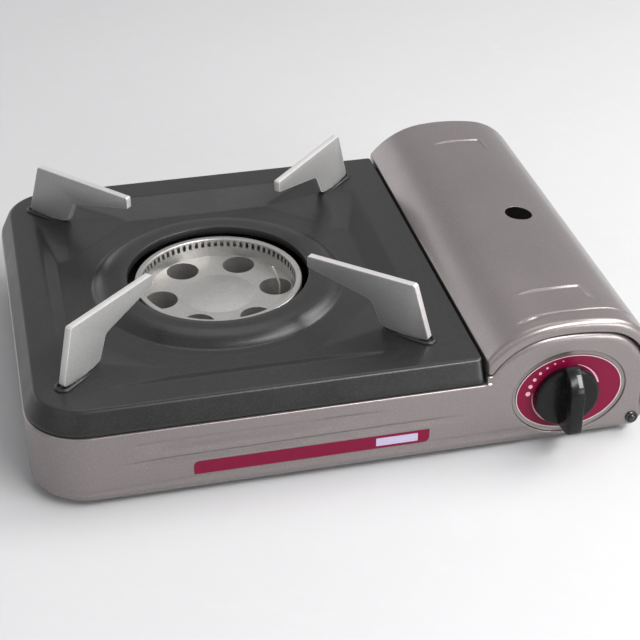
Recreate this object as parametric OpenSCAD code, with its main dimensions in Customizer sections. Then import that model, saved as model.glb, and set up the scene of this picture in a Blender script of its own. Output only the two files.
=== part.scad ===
// Butane cassette stove: a pressed case with a lift-off drip plate and pan supports on the left,
// and a canister bay under a hinged lid on the right.
// Origin: bottom centre of the whole object. +X to the canister side, +Y to the back, +Z up. Millimetres.

/* [Case] */
// Width of the stove, from the case's left wall to the lid's right wall
body_w = 340; // [325:1:370]
// Depth of the case without the knob
body_d = 253; // [246:1:280]
// Height of the case rim above the case's underside
case_h = 42.4; // [40:0.2:48]
// Sheet thickness of the case
case_t = 1; // [0.8:0.1:1.2]
// Corner radius of the case on the burner side
case_r = 33; // [26:1:38]
// Radius of the case's bottom edge
edge_r = 6; // [5:0.5:7]
// Width of the rim's inward flange that carries the drip plate
rim_flange = 7; // [5:0.5:9]
// Height of the rubber feet
foot_h = 3; // [2:0.5:5]
// Radius of a rubber foot
foot_r = 8; // [6:0.5:10]
// Distance of the feet from the case's walls
foot_inset = 34; // [28:1:44]

/* [Drip plate] */
// Width of the canister side, from the drip plate's edge to the lid's right wall
bay_w = 98.4; // [96:0.2:104]
// Height of the drip plate's flat border above the case rim
plate_rise = 13.5; // [12:0.5:15]
// Sheet thickness of the drip plate
plate_t = 1; // [0.8:0.1:1.2]
// Depth of the recess in the drip plate
recess_depth = 6.4; // [5:0.2:7]
// Width of the flat border round the recess
border_w = 22; // [18:1:24]
// Radius of the burner hole in the drip plate
hole_r = 52.5; // [51:0.5:56]
// Outer radius of the raised ring round the burner hole
ring_r = 72; // [68:1:76]

/* [Pan supports] */
// Thickness of a pan support
support_t = 4; // [3:0.5:5]
// Height of the pan supports above the drip plate's border
support_h = 32.6; // [28:0.2:36]
// Distance of a support's outer top corner from the burner axis
support_out = 130; // [127:0.5:131]
// Distance of a support's inner tip from the burner axis
support_in = 62.5; // [58:0.5:66]
// Height of a support's inner tip
tip_h = 6.8; // [5:0.2:9]

/* [Burner] */
// Distance of the burner axis to the left of the drip plate's middle
burner_left = 1; // [0:0.2:2]
// Distance of the burner axis behind the case's middle
burner_behind = 0.9; // [0:0.1:2]
// Outer radius of the burner
burner_r = 48.5; // [46:0.5:49.5]
// Height of the burner rim above the case rim
burner_rise = 8.9; // [6:0.1:10]
// Depth of the burner bowl
bowl_depth = 10.7; // [9:0.1:12]
// Height of the gas chamber below the bowl
chamber_h = 17; // [15:0.5:18]
// Number of flame ports
port_count = 72; // [48:4:80]
// Width of a flame port
port_w = 2; // [1.4:0.1:2.2]
// Height of a flame port
port_h = 3.6; // [2.4:0.1:4]
// Radius of the six air holes through the burner
air_r = 9.5; // [8:0.5:10]
// Distance of the air holes from the burner axis
air_pitch_r = 33.7; // [32:0.1:33.7]

/* [Lid] */
// Height of the lid's crown above the case's underside
lid_h = 75; // [74:0.5:80]
// Radius of the lid's crown
crown_r = 126; // [116:1:136]
// Distance of the crown's highest line from the lid's outer face
crown_from_right = 53; // [52:0.5:54]
// Radius of the lid's outer shoulder
shoulder_r = 36; // [34:0.2:38]
// Radius of the lid's flank beside the drip plate
flank_r = 48; // [46:0.5:50]
// Sheet thickness of the lid
lid_t = 1; // [0.8:0.1:1.2]
// Width of the lid's lips over the ends of the canister bay
lip_w = 6.4; // [6:0.1:7]
// Radius of the inspection hole in the lid
peep_r = 8.1; // [5:0.1:9]

/* [Control] */
// How far the knob stands out of the control panel
knob_out = 18; // [16:0.5:24]
// Radius of the knob's disc
knob_r = 18; // [16:0.5:19]
// Width of the knob's grip bar
grip_w = 9; // [7:0.5:11]
// Distance of the knob axis from the lid's outer face
knob_from_right = 52.6; // [50:0.2:54]
// Height of the knob axis above the case's underside
knob_h = 29.5; // [28:0.2:31]
// Half width of the oval recess in the control panel
oval_a = 32.3; // [30:0.1:34]
// Half height of the oval recess in the control panel
oval_b = 26.1; // [25:0.1:27]
// Depth of the oval recess
oval_depth = 1.2; // [0.8:0.1:1.6]
// Travel of the knob from off to lit, in degrees
knob_travel = 95; // [80:1:110]
// Stroke of the igniter's plunger over that travel
igniter_stroke = 4; // [3:0.1:4.4]

/* [Canister bay] */
// Radius of the canister that the bay takes
canister_r = 33.75; // [33:0.05:34.5]
// Distance of the canister axis from the lid's outer face
canister_from_right = 49; // [47:0.5:52]
// Depth of the room for the regulator, behind the control panel
regulator_room = 50; // [49:0.5:56]
// Radial room round the canister in its cradle
cradle_play = 0.45; // [0.2:0.05:0.8]

/* [Hidden] */

$fn = 64;
eps = 0.01;
run_gap = 0.3;      // least gap between pieces that move past each other
shaft_gap = 0.05;   // radial clearance of a turning shaft
touch_gap = 0.1;    // radial clearance round a fixed round piece
corner_n = 9;       // steps in a rounded corner
edge_n = 5;         // steps in the case's bottom edge
arc_n = 16;         // steps in the lid's flank and shoulder
crown_n = 7;        // steps in the lid's crown

// overall places
pin_head_h = 2.2;
front_y = knob_out - (body_d + knob_out + pin_head_h) / 2;
back_y = front_y + body_d;
left_x = -body_w / 2;
right_x = body_w / 2;
floor_z = foot_h + case_t;
rim_z = foot_h + case_h;
lid_z = foot_h + lid_h;

// drip plate
seam_gap = 0.8;
seam_x = right_x - bay_w;
plate_w = seam_x - left_x;
border_z = rim_z + plate_rise;
recess_z = border_z - recess_depth;
plate_edge_r = 3;    // corner radius beside the lid
edge_share = 0.85;   // share of the plate's rounding that its edge beside the lid goes without
lip_drop = 5;        // depth of the turned-down edge of the burner hole
recess_x0 = 30;      // inset of the recess's floor at the left, right, front and back
recess_x1 = 35;
recess_y0 = 36;
recess_y1 = 45;
pad_lo = 38;         // distance of a pad's foot from the burner axis
pad_hi = 77;         // distance of a pad's top edge from the burner axis
pad_x = plate_w / 2 - 12;
pad_y = body_d / 2 - 16.5;

// burner
burner_x = left_x + plate_w / 2 - burner_left;
burner_y = front_y + body_d / 2 + burner_behind;
burner_z = rim_z + burner_rise;
bowl_z = burner_z - bowl_depth;
bowl_t = 1.5;
cup_t = 1.2;
cup_z = bowl_z - bowl_t - chamber_h;
bowl_in_r = burner_r - 3.5;
bowl_foot_r = bowl_in_r - 1.5;
bowl_wall = 1.3;
rim_t = 1;
port_drop = 0.4;     // the ports' distance below the rim
air_t = 1.5;
dome_r = 21;
dome_h = 1.6;
air_count = 6;
strap_w = 14;        // the bracket's strap under the burner
strap_t = 1.5;
strap_l = 60;
strap_foot = 13;
strap_screw = 20;

// mixing tube and nozzle, on one line from the burner axis to the regulator
nozzle_x = right_x - 70;
nozzle_y = front_y + 30;
tube_z = cup_z + cup_t + (chamber_h - cup_t) / 2;
tube_r = 6.8;
tube_t = 0.8;
bell_r = 11;
tube_a = atan2(nozzle_y - burner_y, nozzle_x - burner_x);
tube_len = norm([nozzle_x - burner_x, nozzle_y - burner_y]);
nozzle_gap = 22;
throat = 60;
tube_end = tube_len - nozzle_gap;
boss_r = 6.5;

// lid and control panel outline
panel_in = lip_w + 0.9;
case_right = right_x - panel_in;
crown_x = right_x - crown_from_right;
crown_z = lid_z - crown_r;
hub_x = right_x - shoulder_r;
shoulder_turn = asin((hub_x - crown_x) / (crown_r - shoulder_r));
hub_z = crown_z + (crown_r - shoulder_r) * cos(shoulder_turn);
flank_turn = 5;
flank_x = crown_x - (crown_r - flank_r) * sin(flank_turn);
flank_z = crown_z + (crown_r - flank_r) * cos(flank_turn);
lid_left = seam_x + seam_gap;
step_z = rim_z + 5.1;      // top of the case front beside the seam
lid_low = step_z + 1.5;
arch_x = flank_at(step_z, panel_in);
shelf_d = 12;
hinge_x = right_x - 12.5;
hinge_z = foot_h + 7.9;
pin_r = 2.5;
pin_head_r = 3.6;
ear_r = 5;
ear_t = 1.2;
ear_y = case_t + 0.6;      // ear's distance from the case's outer face
wall_low = hinge_z + 5.1;  // lower edge of the lid's right wall
wall_ear = hinge_z + 19;
bracket_t = 1.2;

// control
knob_x = right_x - knob_from_right;
knob_z = foot_h + knob_h;
oval_x = knob_x + 2;
oval_z = knob_z + 1.1;
oval_n = 60;
dial_t = 0.4;
dial_rim = 2.2;            // bare border of the recess round the dial plate
disc_t = 4.6;
spindle_r = 3;
cam_y = front_y + 6;
cam_t = 4;
cam_r = 8;
cam_gap = 0.35;
plunger_r = 2.3;
plunger_y = cam_y + cam_t / 2;
plunger_top = knob_z + 19.5;
piezo_w = 14;
piezo_z0 = knob_z + 15;
piezo_h = 17.5;
bore_top = piezo_z0 + 13.5;

// canister bay
canister_x = right_x - canister_from_right;
cradle_t = 1;
cradle_r = canister_r + cradle_play;
canister_z = floor_z + cradle_t + cradle_r;
bay_y = front_y + regulator_room;
cover_t = 1;
cover_x = lid_left + 17;
cover_in = panel_in + case_t + 0.3;
port_r = 9;
port_out = 3.5;
socket_r = 2.3;
block_w = 34;
block_d = 30;
block_h = 30;
drum_r = 14;
drum_t = 10;
drum_x = canister_x + block_w / 2 + drum_t;
drum_y = bay_y - 16;
drum_z = canister_z - 3;
magnet_t = 4;
cradle_y0 = bay_y + 8;
cradle_y1 = back_y - 14;
eject_y = bay_y + 0.4;
eject_t = 2;
eject_in = 23;
eject_out = 28.5;
rod_r = 1.8;
rod_a = 45;
rod_pitch = (eject_in + eject_out) / 2;

// heat shield
shield_x = seam_x + 0.4;
shield_t = 1;
shield_y0 = front_y + 15;
shield_y1 = back_y - edge_r - 0.5;
shield_top = lid_low - run_gap;
ledge_w = 7;
foot_w = 12;
screw_r = 1.6;
head_r = 3;
head_h = 1.5;

// heat conduction plate
conduct_z = floor_z + 8;
conduct_t = 1.2;
conduct_w = 40;
conduct_y = burner_y + 20;

function arc(cx, cy, r, a0, a1, n) =
    [for (i = [0:n]) [cx + r * cos(a0 + (a1 - a0) * i / n), cy + r * sin(a0 + (a1 - a0) * i / n)]];

// all points but the first
function after(points) = [for (i = [1:len(points) - 1]) points[i]];

// rounded rectangle, counterclockwise, with one radius on the left and one on the right
function outline(x0, x1, y0, y1, rl, rr, d) =
    let (l = max(rl - d, 0.5), r = max(rr - d, 0.5))
    concat(arc(x1 - d - r, y0 + d + r, r, -90, 0, corner_n),
           arc(x1 - d - r, y1 - d - r, r, 0, 90, corner_n),
           arc(x0 + d + l, y1 - d - l, l, 90, 180, corner_n),
           arc(x0 + d + l, y0 + d + l, l, 180, 270, corner_n));

function oval(a, b) = [for (i = [0:oval_n - 1]) [a * cos(360 * i / oval_n), b * sin(360 * i / oval_n)]];

// place along X of the lid's flank, moved inwards by d, at height z
function flank_at(z, d) = flank_x - sqrt(pow(flank_r - d, 2) - pow(z - flank_z, 2));

// the lid's outline in the XZ plane from x0 to its right side, moved inwards by d: flank, crown and shoulder
function lid_line(d, x0) =
    concat(arc(flank_x, flank_z, flank_r - d, acos((x0 - flank_x) / (flank_r - d)), 90 + flank_turn, arc_n),
           after(arc(crown_x, crown_z, crown_r - d, 90 + flank_turn, 90 - shoulder_turn, crown_n)),
           after(arc(hub_x, hub_z, shoulder_r - d, 90 - shoulder_turn, 0, arc_n)));

// a skin over rings of [height, outline], all with the same number of points
module skin(rings) {
    n = len(rings[0][1]);
    m = len(rings);
    points = [for (ring = rings) for (p = ring[1]) [p[0], p[1], ring[0]]];
    sides = [for (k = [0:m - 2]) for (i = [0:n - 1])
             let (a = k * n + i, b = k * n + (i + 1) % n, c = a + n, e = b + n)
             each [[c, e, b], [c, b, a]]];
    polyhedron(points, concat([[for (i = [0:n - 1]) i]],
                              [[for (i = [0:n - 1]) m * n - 1 - i]], sides));
}

// extrudes a drawing of the XZ plane from y0 to y1
module along_y(y0, y1) {
    translate([0, y1, 0]) rotate([90, 0, 0]) linear_extrude(y1 - y0) children();
}

module rod_y(x, z, r, y0, y1) {
    translate([x, y0, z]) rotate([-90, 0, 0]) cylinder(r = r, h = y1 - y0);
}

module box(x0, x1, y0, y1, z0, z1) {
    translate([x0, y0, z0]) cube([x1 - x0, y1 - y0, z1 - z0]);
}

// ---- case ----

// the case seen from the front, moved inwards by d: flat rim, step at the seam, then the arch
module front_shape(d) {
    polygon(concat([[left_x - 1, 0], [left_x - 1, rim_z - d], [lid_left + d, rim_z - d],
                    [lid_left + d, step_z - d]],
                   lid_line(panel_in + d, flank_at(step_z - d, panel_in + d)), [[case_right - d, 0]]));
}

function case_outline(d) = outline(left_x, case_right, front_y, back_y, case_r, 3, d);

module tray(d) {
    r = edge_r - d;
    skin(concat([for (k = [0:edge_n]) let (a = 90 * k / edge_n)
                 [foot_h + d + r * (1 - cos(a)), case_outline(d + r * (1 - sin(a)))]],
                [[rim_z + d, case_outline(d)]]));
}

module floor_vents() {
    for (i = [-2, -1, 1, 2]) for (s = [-1, 1])
        box(burner_x + i * 22 - 3, burner_x + i * 22 + 3, burner_y + s * 68 - 12, burner_y + s * 68 + 12,
            foot_h - 1, floor_z + 1);
}

module back_vents() {
    for (i = [0:5]) box(canister_x - 26 + i * 10, canister_x - 22 + i * 10, back_y - case_t - 1,
                        back_y + 1, floor_z + 12, floor_z + 34);
}

module case_ends() {
    for (y = [front_y, back_y - case_t])
        box(lid_left, case_right, y, y + case_t, rim_z - 2, lid_z);
}

module ear_notches() {
    for (y = [front_y + ear_y - run_gap, back_y - ear_y - ear_t - run_gap])
        box(hinge_x - ear_r - 0.5, case_right + 1, y, y + ear_t + 2 * run_gap, 0, wall_ear + 2.5);
}

module case() color([0.66, 0.62, 0.62]) difference() {
    union() {
        intersection() {
            union() {
                difference() {
                    tray(0);
                    tray(case_t);
                }
                case_ends();
            }
            along_y(front_y - 1, back_y + 1) front_shape(0);
        }
        translate([0, 0, rim_z - case_t]) linear_extrude(case_t) difference() {
            polygon(case_outline(case_t / 2));
            polygon(case_outline(rim_flange));
            translate([seam_x - 0.5, front_y]) square([right_x, body_d]);
        }
        for (y = [front_y + case_t / 2, back_y - shelf_d])
            along_y(y, y + shelf_d - case_t / 2) intersection() {
                difference() {
                    front_shape(0);
                    front_shape(case_t);
                }
                translate([arch_x + case_t, hub_z]) square([body_w, lid_z]);
            }
        along_y(front_y + eps, front_y + oval_depth + case_t)
            translate([oval_x, oval_z]) polygon(oval(oval_a + case_t, oval_b + case_t));
    }
    along_y(front_y - 1, front_y + oval_depth)
        translate([oval_x, oval_z]) polygon(oval(oval_a, oval_b));
    rod_y(knob_x, knob_z, spindle_r + 1.5, front_y - 1, front_y + 5);
    for (y = [front_y - 1, back_y - case_t - 1])
        rod_y(hinge_x, hinge_z, pin_r + touch_gap, y, y + case_t + 2);
    ear_notches();
    floor_vents();
    back_vents();
}

module feet() color([0.1, 0.1, 0.1])
    for (x = [left_x + foot_inset, case_right - foot_inset])
        for (y = [front_y + foot_inset, back_y - foot_inset])
            translate([x, y, 0]) cylinder(r = foot_r, h = foot_h);

// ---- drip plate and pan supports ----

// d moves it inwards on all sides, b is the rounding, which the edge beside the lid mostly goes without
function plate_outline(d, b) =
    outline(left_x + 0.6, seam_x + edge_share * b, front_y + 0.6, back_y - 0.6, case_r - 0.6,
            plate_edge_r, d + b);

// solid under the plate's top face: d moves its sides inwards and its top down
module plate_form(d) {
    difference() {
        skin([[rim_z - d, plate_outline(d, 0)],
              [rim_z + 0.42 * plate_rise - d, plate_outline(d, 0.6)],
              [rim_z + 0.78 * plate_rise - d, plate_outline(d, 2.4)],
              [rim_z + 0.95 * plate_rise - d, plate_outline(d, 5)],
              [border_z - d, plate_outline(d, 9)]]);
        skin([[recess_z - d, outline(left_x + recess_x0, seam_x - recess_x1, front_y + recess_y0,
                                     back_y - recess_y1, 12, 12, 0)],
              [border_z - d, outline(left_x + border_w, seam_x - border_w, front_y + border_w + 1.5,
                                     back_y - border_w - 3.5, 18, 18, 0)],
              [border_z + 2, outline(left_x + border_w, seam_x - border_w, front_y + border_w + 1.5,
                                     back_y - border_w - 3.5, 18, 18, 0)]]);
    }
    for (mx = [0, 1]) for (my = [0, 1])
        translate([burner_x, burner_y, -d]) mirror([mx, 0, 0]) mirror([0, my, 0]) corner_pad();
    translate([burner_x, burner_y, -d]) rotate_extrude($fn = 96) ring_section();
}

// raised pad that carries a pan support, in the quadrant of +X and +Y from the burner axis
module corner_pad() {
    lo = recess_z - 0.5;
    knee = 62;
    mid_x = (pad_hi + pad_x) / 2;
    mid_y = (pad_hi + pad_y) / 2;
    skin([[lo, [[pad_lo + 6, pad_hi], [knee, knee], [pad_hi, pad_lo + 6], [pad_hi + 3, pad_lo + 1],
                [mid_x, pad_lo], [pad_x, pad_lo], [pad_x, pad_y], [pad_lo, pad_y],
                [pad_lo, mid_y], [pad_lo + 1, pad_hi + 3]]],
          [border_z, [[pad_hi + 0.5, pad_hi + 2.5], [pad_hi + 1.5, pad_hi + 1.5],
                      [pad_hi + 2.5, pad_hi + 0.5], [pad_hi + 4, pad_hi], [mid_x + 2, pad_hi],
                      [pad_x, pad_hi], [pad_x, pad_y], [pad_hi, pad_y],
                      [pad_hi, mid_y + 2], [pad_hi, pad_hi + 4]]]]);
}

// half section of the raised ring round the burner hole
module ring_section() {
    g = border_z - 4.2;
    polygon(concat([[0, rim_z + 2], [ring_r + 8, recess_z - 1], [ring_r + 6, recess_z]],
                   [[ring_r + 1, recess_z + 2.2], [ring_r - 1.5, recess_z + 3], [ring_r - 4, g]],
                   arc(hole_r + 6.5, border_z - 8, 8, 26, 115, 8),
                   [[hole_r, border_z - 0.6], [0, border_z - 0.6]]));
}

module support_slots(grow) {
    for (a = [45:90:315]) translate([burner_x, burner_y, 0]) rotate([0, 0, a])
        box(support_out - 9 - grow, support_out + 1 + grow, -support_t / 2 - grow, support_t / 2 + grow,
            border_z - 3.5, border_z + eps);
}

module drip_plate() color([0.2, 0.2, 0.21]) difference() {
    union() {
        difference() {
            plate_form(0);
            plate_form(plate_t);
            translate([burner_x, burner_y, 0]) cylinder(r = hole_r, h = lid_z, $fn = 96);
        }
        translate([burner_x, burner_y, border_z - lip_drop]) difference() {
            cylinder(r = hole_r + plate_t, h = lip_drop - 0.9, $fn = 96);
            translate([0, 0, -1]) cylinder(r = hole_r, h = lip_drop + 2, $fn = 96);
        }
    }
    support_slots(touch_gap);
}

// one support, cut from plate, seen from its side: distance from the burner axis, height over the border
module support_shape() {
    top = support_h;
    polygon([[support_in, top - 2.6 - tip_h], [support_in, top - 3], [support_in + 0.8, top - 2.4],
             [support_out - 2.2, top - 0.1], [support_out - 0.8, top], [support_out + 0.4, top - 0.8],
             [support_out + 0.9, top - 2.2], [support_out + 9.6, 2.4], [support_out + 8.6, 1.2],
             [support_out + 3, 0], [support_out + 1, 0], [support_out + 1, -3.2], [support_out - 9, -3.2],
             [support_out - 9, 0], [support_out - 14, 0], [support_out - 20.5, 2.2],
             [support_out - 26, 13.8]]);
}

module pan_support(a) {
    color([0.72, 0.71, 0.7]) translate([burner_x, burner_y, border_z]) rotate([0, 0, a])
        along_y(-support_t / 2, support_t / 2) support_shape();
}

module pan_support_back_right() pan_support(45);
module pan_support_back_left() pan_support(135);
module pan_support_front_left() pan_support(225);
module pan_support_front_right() pan_support(315);

// ---- burner ----

module air_ring(r, z0, z1) {
    for (i = [0:air_count - 1]) rotate([0, 0, 360 * i / air_count])
        translate([air_pitch_r, 0, z0]) cylinder(r = r, h = z1 - z0, $fn = 48);
}

module burner_bowl() color([0.78, 0.77, 0.75]) translate([burner_x, burner_y, 0]) difference() {
    union() {
        rotate_extrude($fn = 96) polygon(concat(
            [[0, bowl_z - bowl_t], [bowl_foot_r + bowl_wall, bowl_z - bowl_t],
             [bowl_in_r + bowl_wall, burner_z - rim_t], [burner_r, burner_z - rim_t],
             [burner_r, burner_z - 0.5], [burner_r - 0.5, burner_z], [bowl_in_r + 0.3, burner_z],
             [bowl_in_r, burner_z - 0.4], [bowl_foot_r, bowl_z],
             [dome_r + 2, bowl_z]],
            [for (i = [0:5]) [dome_r * (1 - i / 5), bowl_z + dome_h * sin(18 * i)]]));
        air_ring(air_r + air_t, cup_z + cup_t, bowl_z - eps);
    }
    air_ring(air_r, cup_z, burner_z);
    for (i = [0:port_count - 1]) rotate([0, 0, 360 * (i + 0.5) / port_count])
        box(bowl_foot_r - 1, bowl_in_r + bowl_wall + 0.5, -port_w / 2, port_w / 2,
            burner_z - rim_t - port_drop - port_h, burner_z - rim_t - port_drop);
}

module burner_cup() color([0.6, 0.6, 0.6]) difference() {
    translate([burner_x, burner_y, 0]) difference() {
        translate([0, 0, cup_z]) cylinder(r = burner_r, h = burner_z - rim_t - cup_z, $fn = 96);
        translate([0, 0, cup_z + cup_t]) cylinder(r = burner_r - cup_t, h = body_d, $fn = 96);
        air_ring(air_r, cup_z - 1, cup_z + cup_t + 1);
        for (s = [-1, 1]) translate([0, s * strap_screw, cup_z - 1])
            cylinder(r = screw_r, h = cup_t + 2);
    }
    tube_line() translate([0, 0, burner_r - 6]) cylinder(r = tube_r + tube_t + touch_gap, h = 10);
}

module burner_bracket() color([0.7, 0.7, 0.68]) translate([burner_x, burner_y, 0]) difference() {
    w = strap_w / 2;
    union() {
        box(-w, w, -strap_l, strap_l, cup_z - strap_t, cup_z);
        for (s = [-1, 1]) {
            translate([0, s * (strap_l - strap_t / 2), 0])
                box(-w, w, -strap_t / 2, strap_t / 2, floor_z, cup_z);
            translate([0, s * (strap_l - strap_t + strap_foot / 2), 0])
                box(-w, w, -strap_foot / 2, strap_foot / 2, floor_z, floor_z + strap_t);
        }
    }
    for (s = [-1, 1]) translate([0, s * strap_screw, cup_z - 3]) cylinder(r = screw_r, h = 5);
}

module burner_screws() color([0.55, 0.55, 0.52])
    for (s = [-1, 1]) translate([burner_x, burner_y + s * strap_screw, cup_z - strap_t]) {
        translate([0, 0, -head_h]) cylinder(r = head_r, h = head_h);
        cylinder(r = screw_r - shaft_gap, h = strap_t + cup_t);
    }

// places things on the mixing tube's line, which leaves the burner axis along +Z of the child
module tube_line() {
    translate([burner_x, burner_y, tube_z]) rotate([0, 0, tube_a]) rotate([0, 90, 0]) children();
}

module mixing_tube() color([0.68, 0.68, 0.66]) tube_line() rotate_extrude()
    polygon([[tube_r, burner_r - cup_t], [tube_r + tube_t, burner_r - cup_t],
             [tube_r + tube_t, tube_end - 12], [bell_r, tube_end - 4], [bell_r, tube_end],
             [bell_r - tube_t, tube_end], [bell_r - tube_t, tube_end - 4], [tube_r - 2, tube_end - 22],
             [tube_r, tube_end - throat]]);

module gas_nozzle() color([0.75, 0.6, 0.3]) tube_line() difference() {
    union() {
        translate([0, 0, tube_len - 20]) cylinder(r = boss_r - 0.5, h = 6, $fn = 6);
        translate([0, 0, tube_len - 25]) cylinder(r = 3, h = 5 + eps);
    }
    translate([0, 0, tube_len - 26]) cylinder(r = 0.6, h = 14, $fn = 24);
}

// ---- spark electrode ----

spark_out = 2.2;    // the electrode's distance outwards from the air hole's middle
spark_x = burner_x + air_pitch_r + spark_out;
spark_r = 0.7;
insulator_r = 2.8;
terminal_z = cup_z - 11;

module electrode_bracket() color([0.7, 0.7, 0.68]) difference() {
    box(burner_x + 12, spark_x + 5, burner_y - 4.5, burner_y + 4.5, cup_z - 1.2, cup_z);
    translate([spark_x, burner_y, cup_z - 3]) cylinder(r = insulator_r + touch_gap, h = 5);
}

module electrode_insulator() color([0.92, 0.9, 0.86]) translate([spark_x, burner_y, 0]) difference() {
    union() {
        translate([0, 0, cup_z - 7]) cylinder(r = insulator_r, h = bowl_z - cup_z - 2);
        translate([0, 0, cup_z]) cylinder(r = insulator_r + 1.4, h = 2);
    }
    translate([0, 0, cup_z - 9]) cylinder(r = spark_r + touch_gap, h = 60, $fn = 32);
}

module spark_electrode() color([0.6, 0.6, 0.6]) translate([spark_x, burner_y, 0])
    wire([[0, 0, terminal_z], [0, 0, bowl_z + 1.4], [-0.4, 0, bowl_z + 3.2], [-3.7, 0, bowl_z + 13.6]],
         spark_r, 12);

// route of the lead from the piezo housing to the electrode's terminal
lead_r = 1.2;
lead_n = 8;
lead_start = [knob_x - piezo_w / 2, front_y + 8.1, 0];
lead_way = [spark_x, burner_y, 0] - lead_start;
// shares of the way from the housing to the terminal along X and Y, and the height above the case's floor
lead_steps = [[0, 0, 52], [0.027, 0, 52], [0.082, 0, 50], [0.145, 0.004, 44], [0.208, 0.013, 37],
              [0.271, 0.021, 34], [0.35, 0.021, 33], [0.429, 0.046, 31], [0.507, 0.113, 27],
              [0.57, 0.197, 22], [0.618, 0.281, 16], [0.665, 0.381, 11], [0.72, 0.499, 7],
              [0.783, 0.616, 4], [0.846, 0.725, 3], [0.901, 0.817, 2], [0.949, 0.893, 2],
              [0.98, 0.951, 2.5], [0.998, 0.99, 4.5]];
lead_route = concat([for (s = lead_steps)
                     lead_start + [lead_way[0] * s[0], lead_way[1] * s[1], floor_z + s[2]]],
                    [[spark_x, burner_y, floor_z + 7], [spark_x, burner_y, terminal_z]]);

function unit(v) = v / norm(v);

// a round wire along a path, with n sides
module wire(path, r, n) {
    m = len(path);
    heading = [for (i = [0:m - 1]) unit(path[min(i + 1, m - 1)] - path[max(i - 1, 0)])];
    side = [for (t = heading) unit(cross(t, abs(t[2]) > 0.9 ? [0, 1, 0] : [0, 0, 1]))];
    rings = [for (i = [0:m - 1]) for (k = [0:n - 1]) let (a = 360 * k / n, u = side[i])
             path[i] + r * (u * cos(a) + cross(heading[i], u) * sin(a))];
    sides = [for (i = [0:m - 2]) for (k = [0:n - 1])
             let (a = i * n + k, b = i * n + (k + 1) % n) each [[a, a + n, b], [b, a + n, b + n]]];
    polyhedron(rings, concat([[for (k = [0:n - 1]) k]], [[for (k = [0:n - 1]) m * n - 1 - k]], sides));
}

module ignition_lead() color([0.12, 0.12, 0.12]) wire(lead_route, lead_r, lead_n);

// ---- heat shield between burner and canister ----

module heat_shield() color([0.74, 0.74, 0.73]) difference() {
    union() {
        box(shield_x, shield_x + shield_t, shield_y0, shield_y1, floor_z, shield_top);
        box(shield_x, shield_x + foot_w, shield_y0, back_y - shelf_d - run_gap,
            shield_top - shield_t, shield_top);
        box(shield_x - ledge_w, shield_x + eps, shield_y0, back_y - rim_flange - 1,
            rim_z - shield_t, rim_z);
        box(shield_x, shield_x + foot_w, shield_y0, shield_y1, floor_z, floor_z + shield_t);
    }
    translate([shield_x, burner_y + (shield_x - burner_x) * tan(tube_a), tube_z])
        box(-1, 3, -tube_r - 7, tube_r + 7, -tube_r - 3, tube_r + 2.6);
    box(shield_x - 1, shield_x + 3, conduct_y - conduct_w / 2 - 1, conduct_y + conduct_w / 2 + 1,
        conduct_z, conduct_z + conduct_t + touch_gap);
    for (i = [0:4]) box(shield_x - 1, shield_x + 3, burner_y - 10 + i * 22, burner_y + 4 + i * 22,
                        tube_z - 4, tube_z + 4);
    for (y = shield_screw_y) translate([shield_x + foot_w / 2, y, 0]) cylinder(r = screw_r, h = rim_z / 2);
}

shield_screw_y = [front_y + 24, burner_y - 6, back_y - 24];

module shield_screws() color([0.55, 0.55, 0.52])
    for (y = shield_screw_y) translate([shield_x + foot_w / 2, y, floor_z]) {
        cylinder(r = screw_r - 0.05, h = shield_t + eps);
        translate([0, 0, shield_t]) cylinder(r = head_r, h = head_h);
    }

module heat_conduction_plate() color([0.8, 0.8, 0.8]) {
    x1 = canister_x - canister_r - 0.4;
    box(burner_x + 40, x1, conduct_y - conduct_w / 2, conduct_y + conduct_w / 2,
        conduct_z, conduct_z + conduct_t);
    box(x1 - conduct_t, x1, conduct_y - conduct_w / 2, conduct_y + conduct_w / 2,
        conduct_z, canister_z + 6);
}

// ---- regulator ----

module regulator_cover() color([0.7, 0.7, 0.69]) difference() {
    union() {
        along_y(front_y + shelf_d + 2.5, bay_y) intersection() {
            difference() {
                front_shape(cover_in - panel_in);
                front_shape(cover_in - panel_in + cover_t);
            }
            translate([cover_x, floor_z]) square([body_w, lid_z]);
        }
        along_y(bay_y - cover_t, bay_y) intersection() {
            front_shape(cover_in - panel_in);
            translate([cover_x, floor_z]) square([body_w, lid_z]);
        }
    }
    rod_y(canister_x, canister_z, port_r + touch_gap, bay_y - 3, bay_y + 3);
    eject_rods() cylinder(r = rod_r + run_gap, h = 10, center = true);
    along_y(front_y, bay_y + 1) intersection() {
        difference() {
            translate([case_right - 12, 0]) square([20, floor_z + edge_r]);
            translate([case_right - edge_r, floor_z + edge_r]) circle(r = edge_r - 2);
        }
        translate([case_right - edge_r, 0]) square([20, floor_z + edge_r]);
    }
}

module regulator_block() color([0.72, 0.7, 0.66]) difference() {
    union() {
        box(canister_x - block_w / 2, canister_x + block_w / 2, bay_y - block_d, bay_y - cover_t,
            canister_z - block_h / 2, canister_z + block_h / 2);
        rod_y(canister_x, canister_z, port_r, bay_y - cover_t - eps, bay_y + port_out);
        translate([canister_x + block_w / 2 - eps, drum_y, drum_z]) rotate([0, 90, 0])
            cylinder(r = drum_r, h = drum_t);
        tube_line() translate([0, 0, tube_len - 14]) cylinder(r = boss_r, h = 23);
    }
    rod_y(knob_x, knob_z, spindle_r + shaft_gap, bay_y - block_d - 1, bay_y - 12);
    rod_y(canister_x, canister_z, socket_r, bay_y + port_out - 9, bay_y + port_out + 1);
    rod_y(canister_x, canister_z, socket_r + 2, bay_y + port_out - 2, bay_y + port_out + 1);
    tube_line() translate([0, 0, tube_len - 15]) cylinder(r = 2, h = 12, $fn = 32);
    diaphragm_axes() translate([0, 0, -4]) cylinder(r = 1.25, h = 4, $fn = 32);
}

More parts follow.
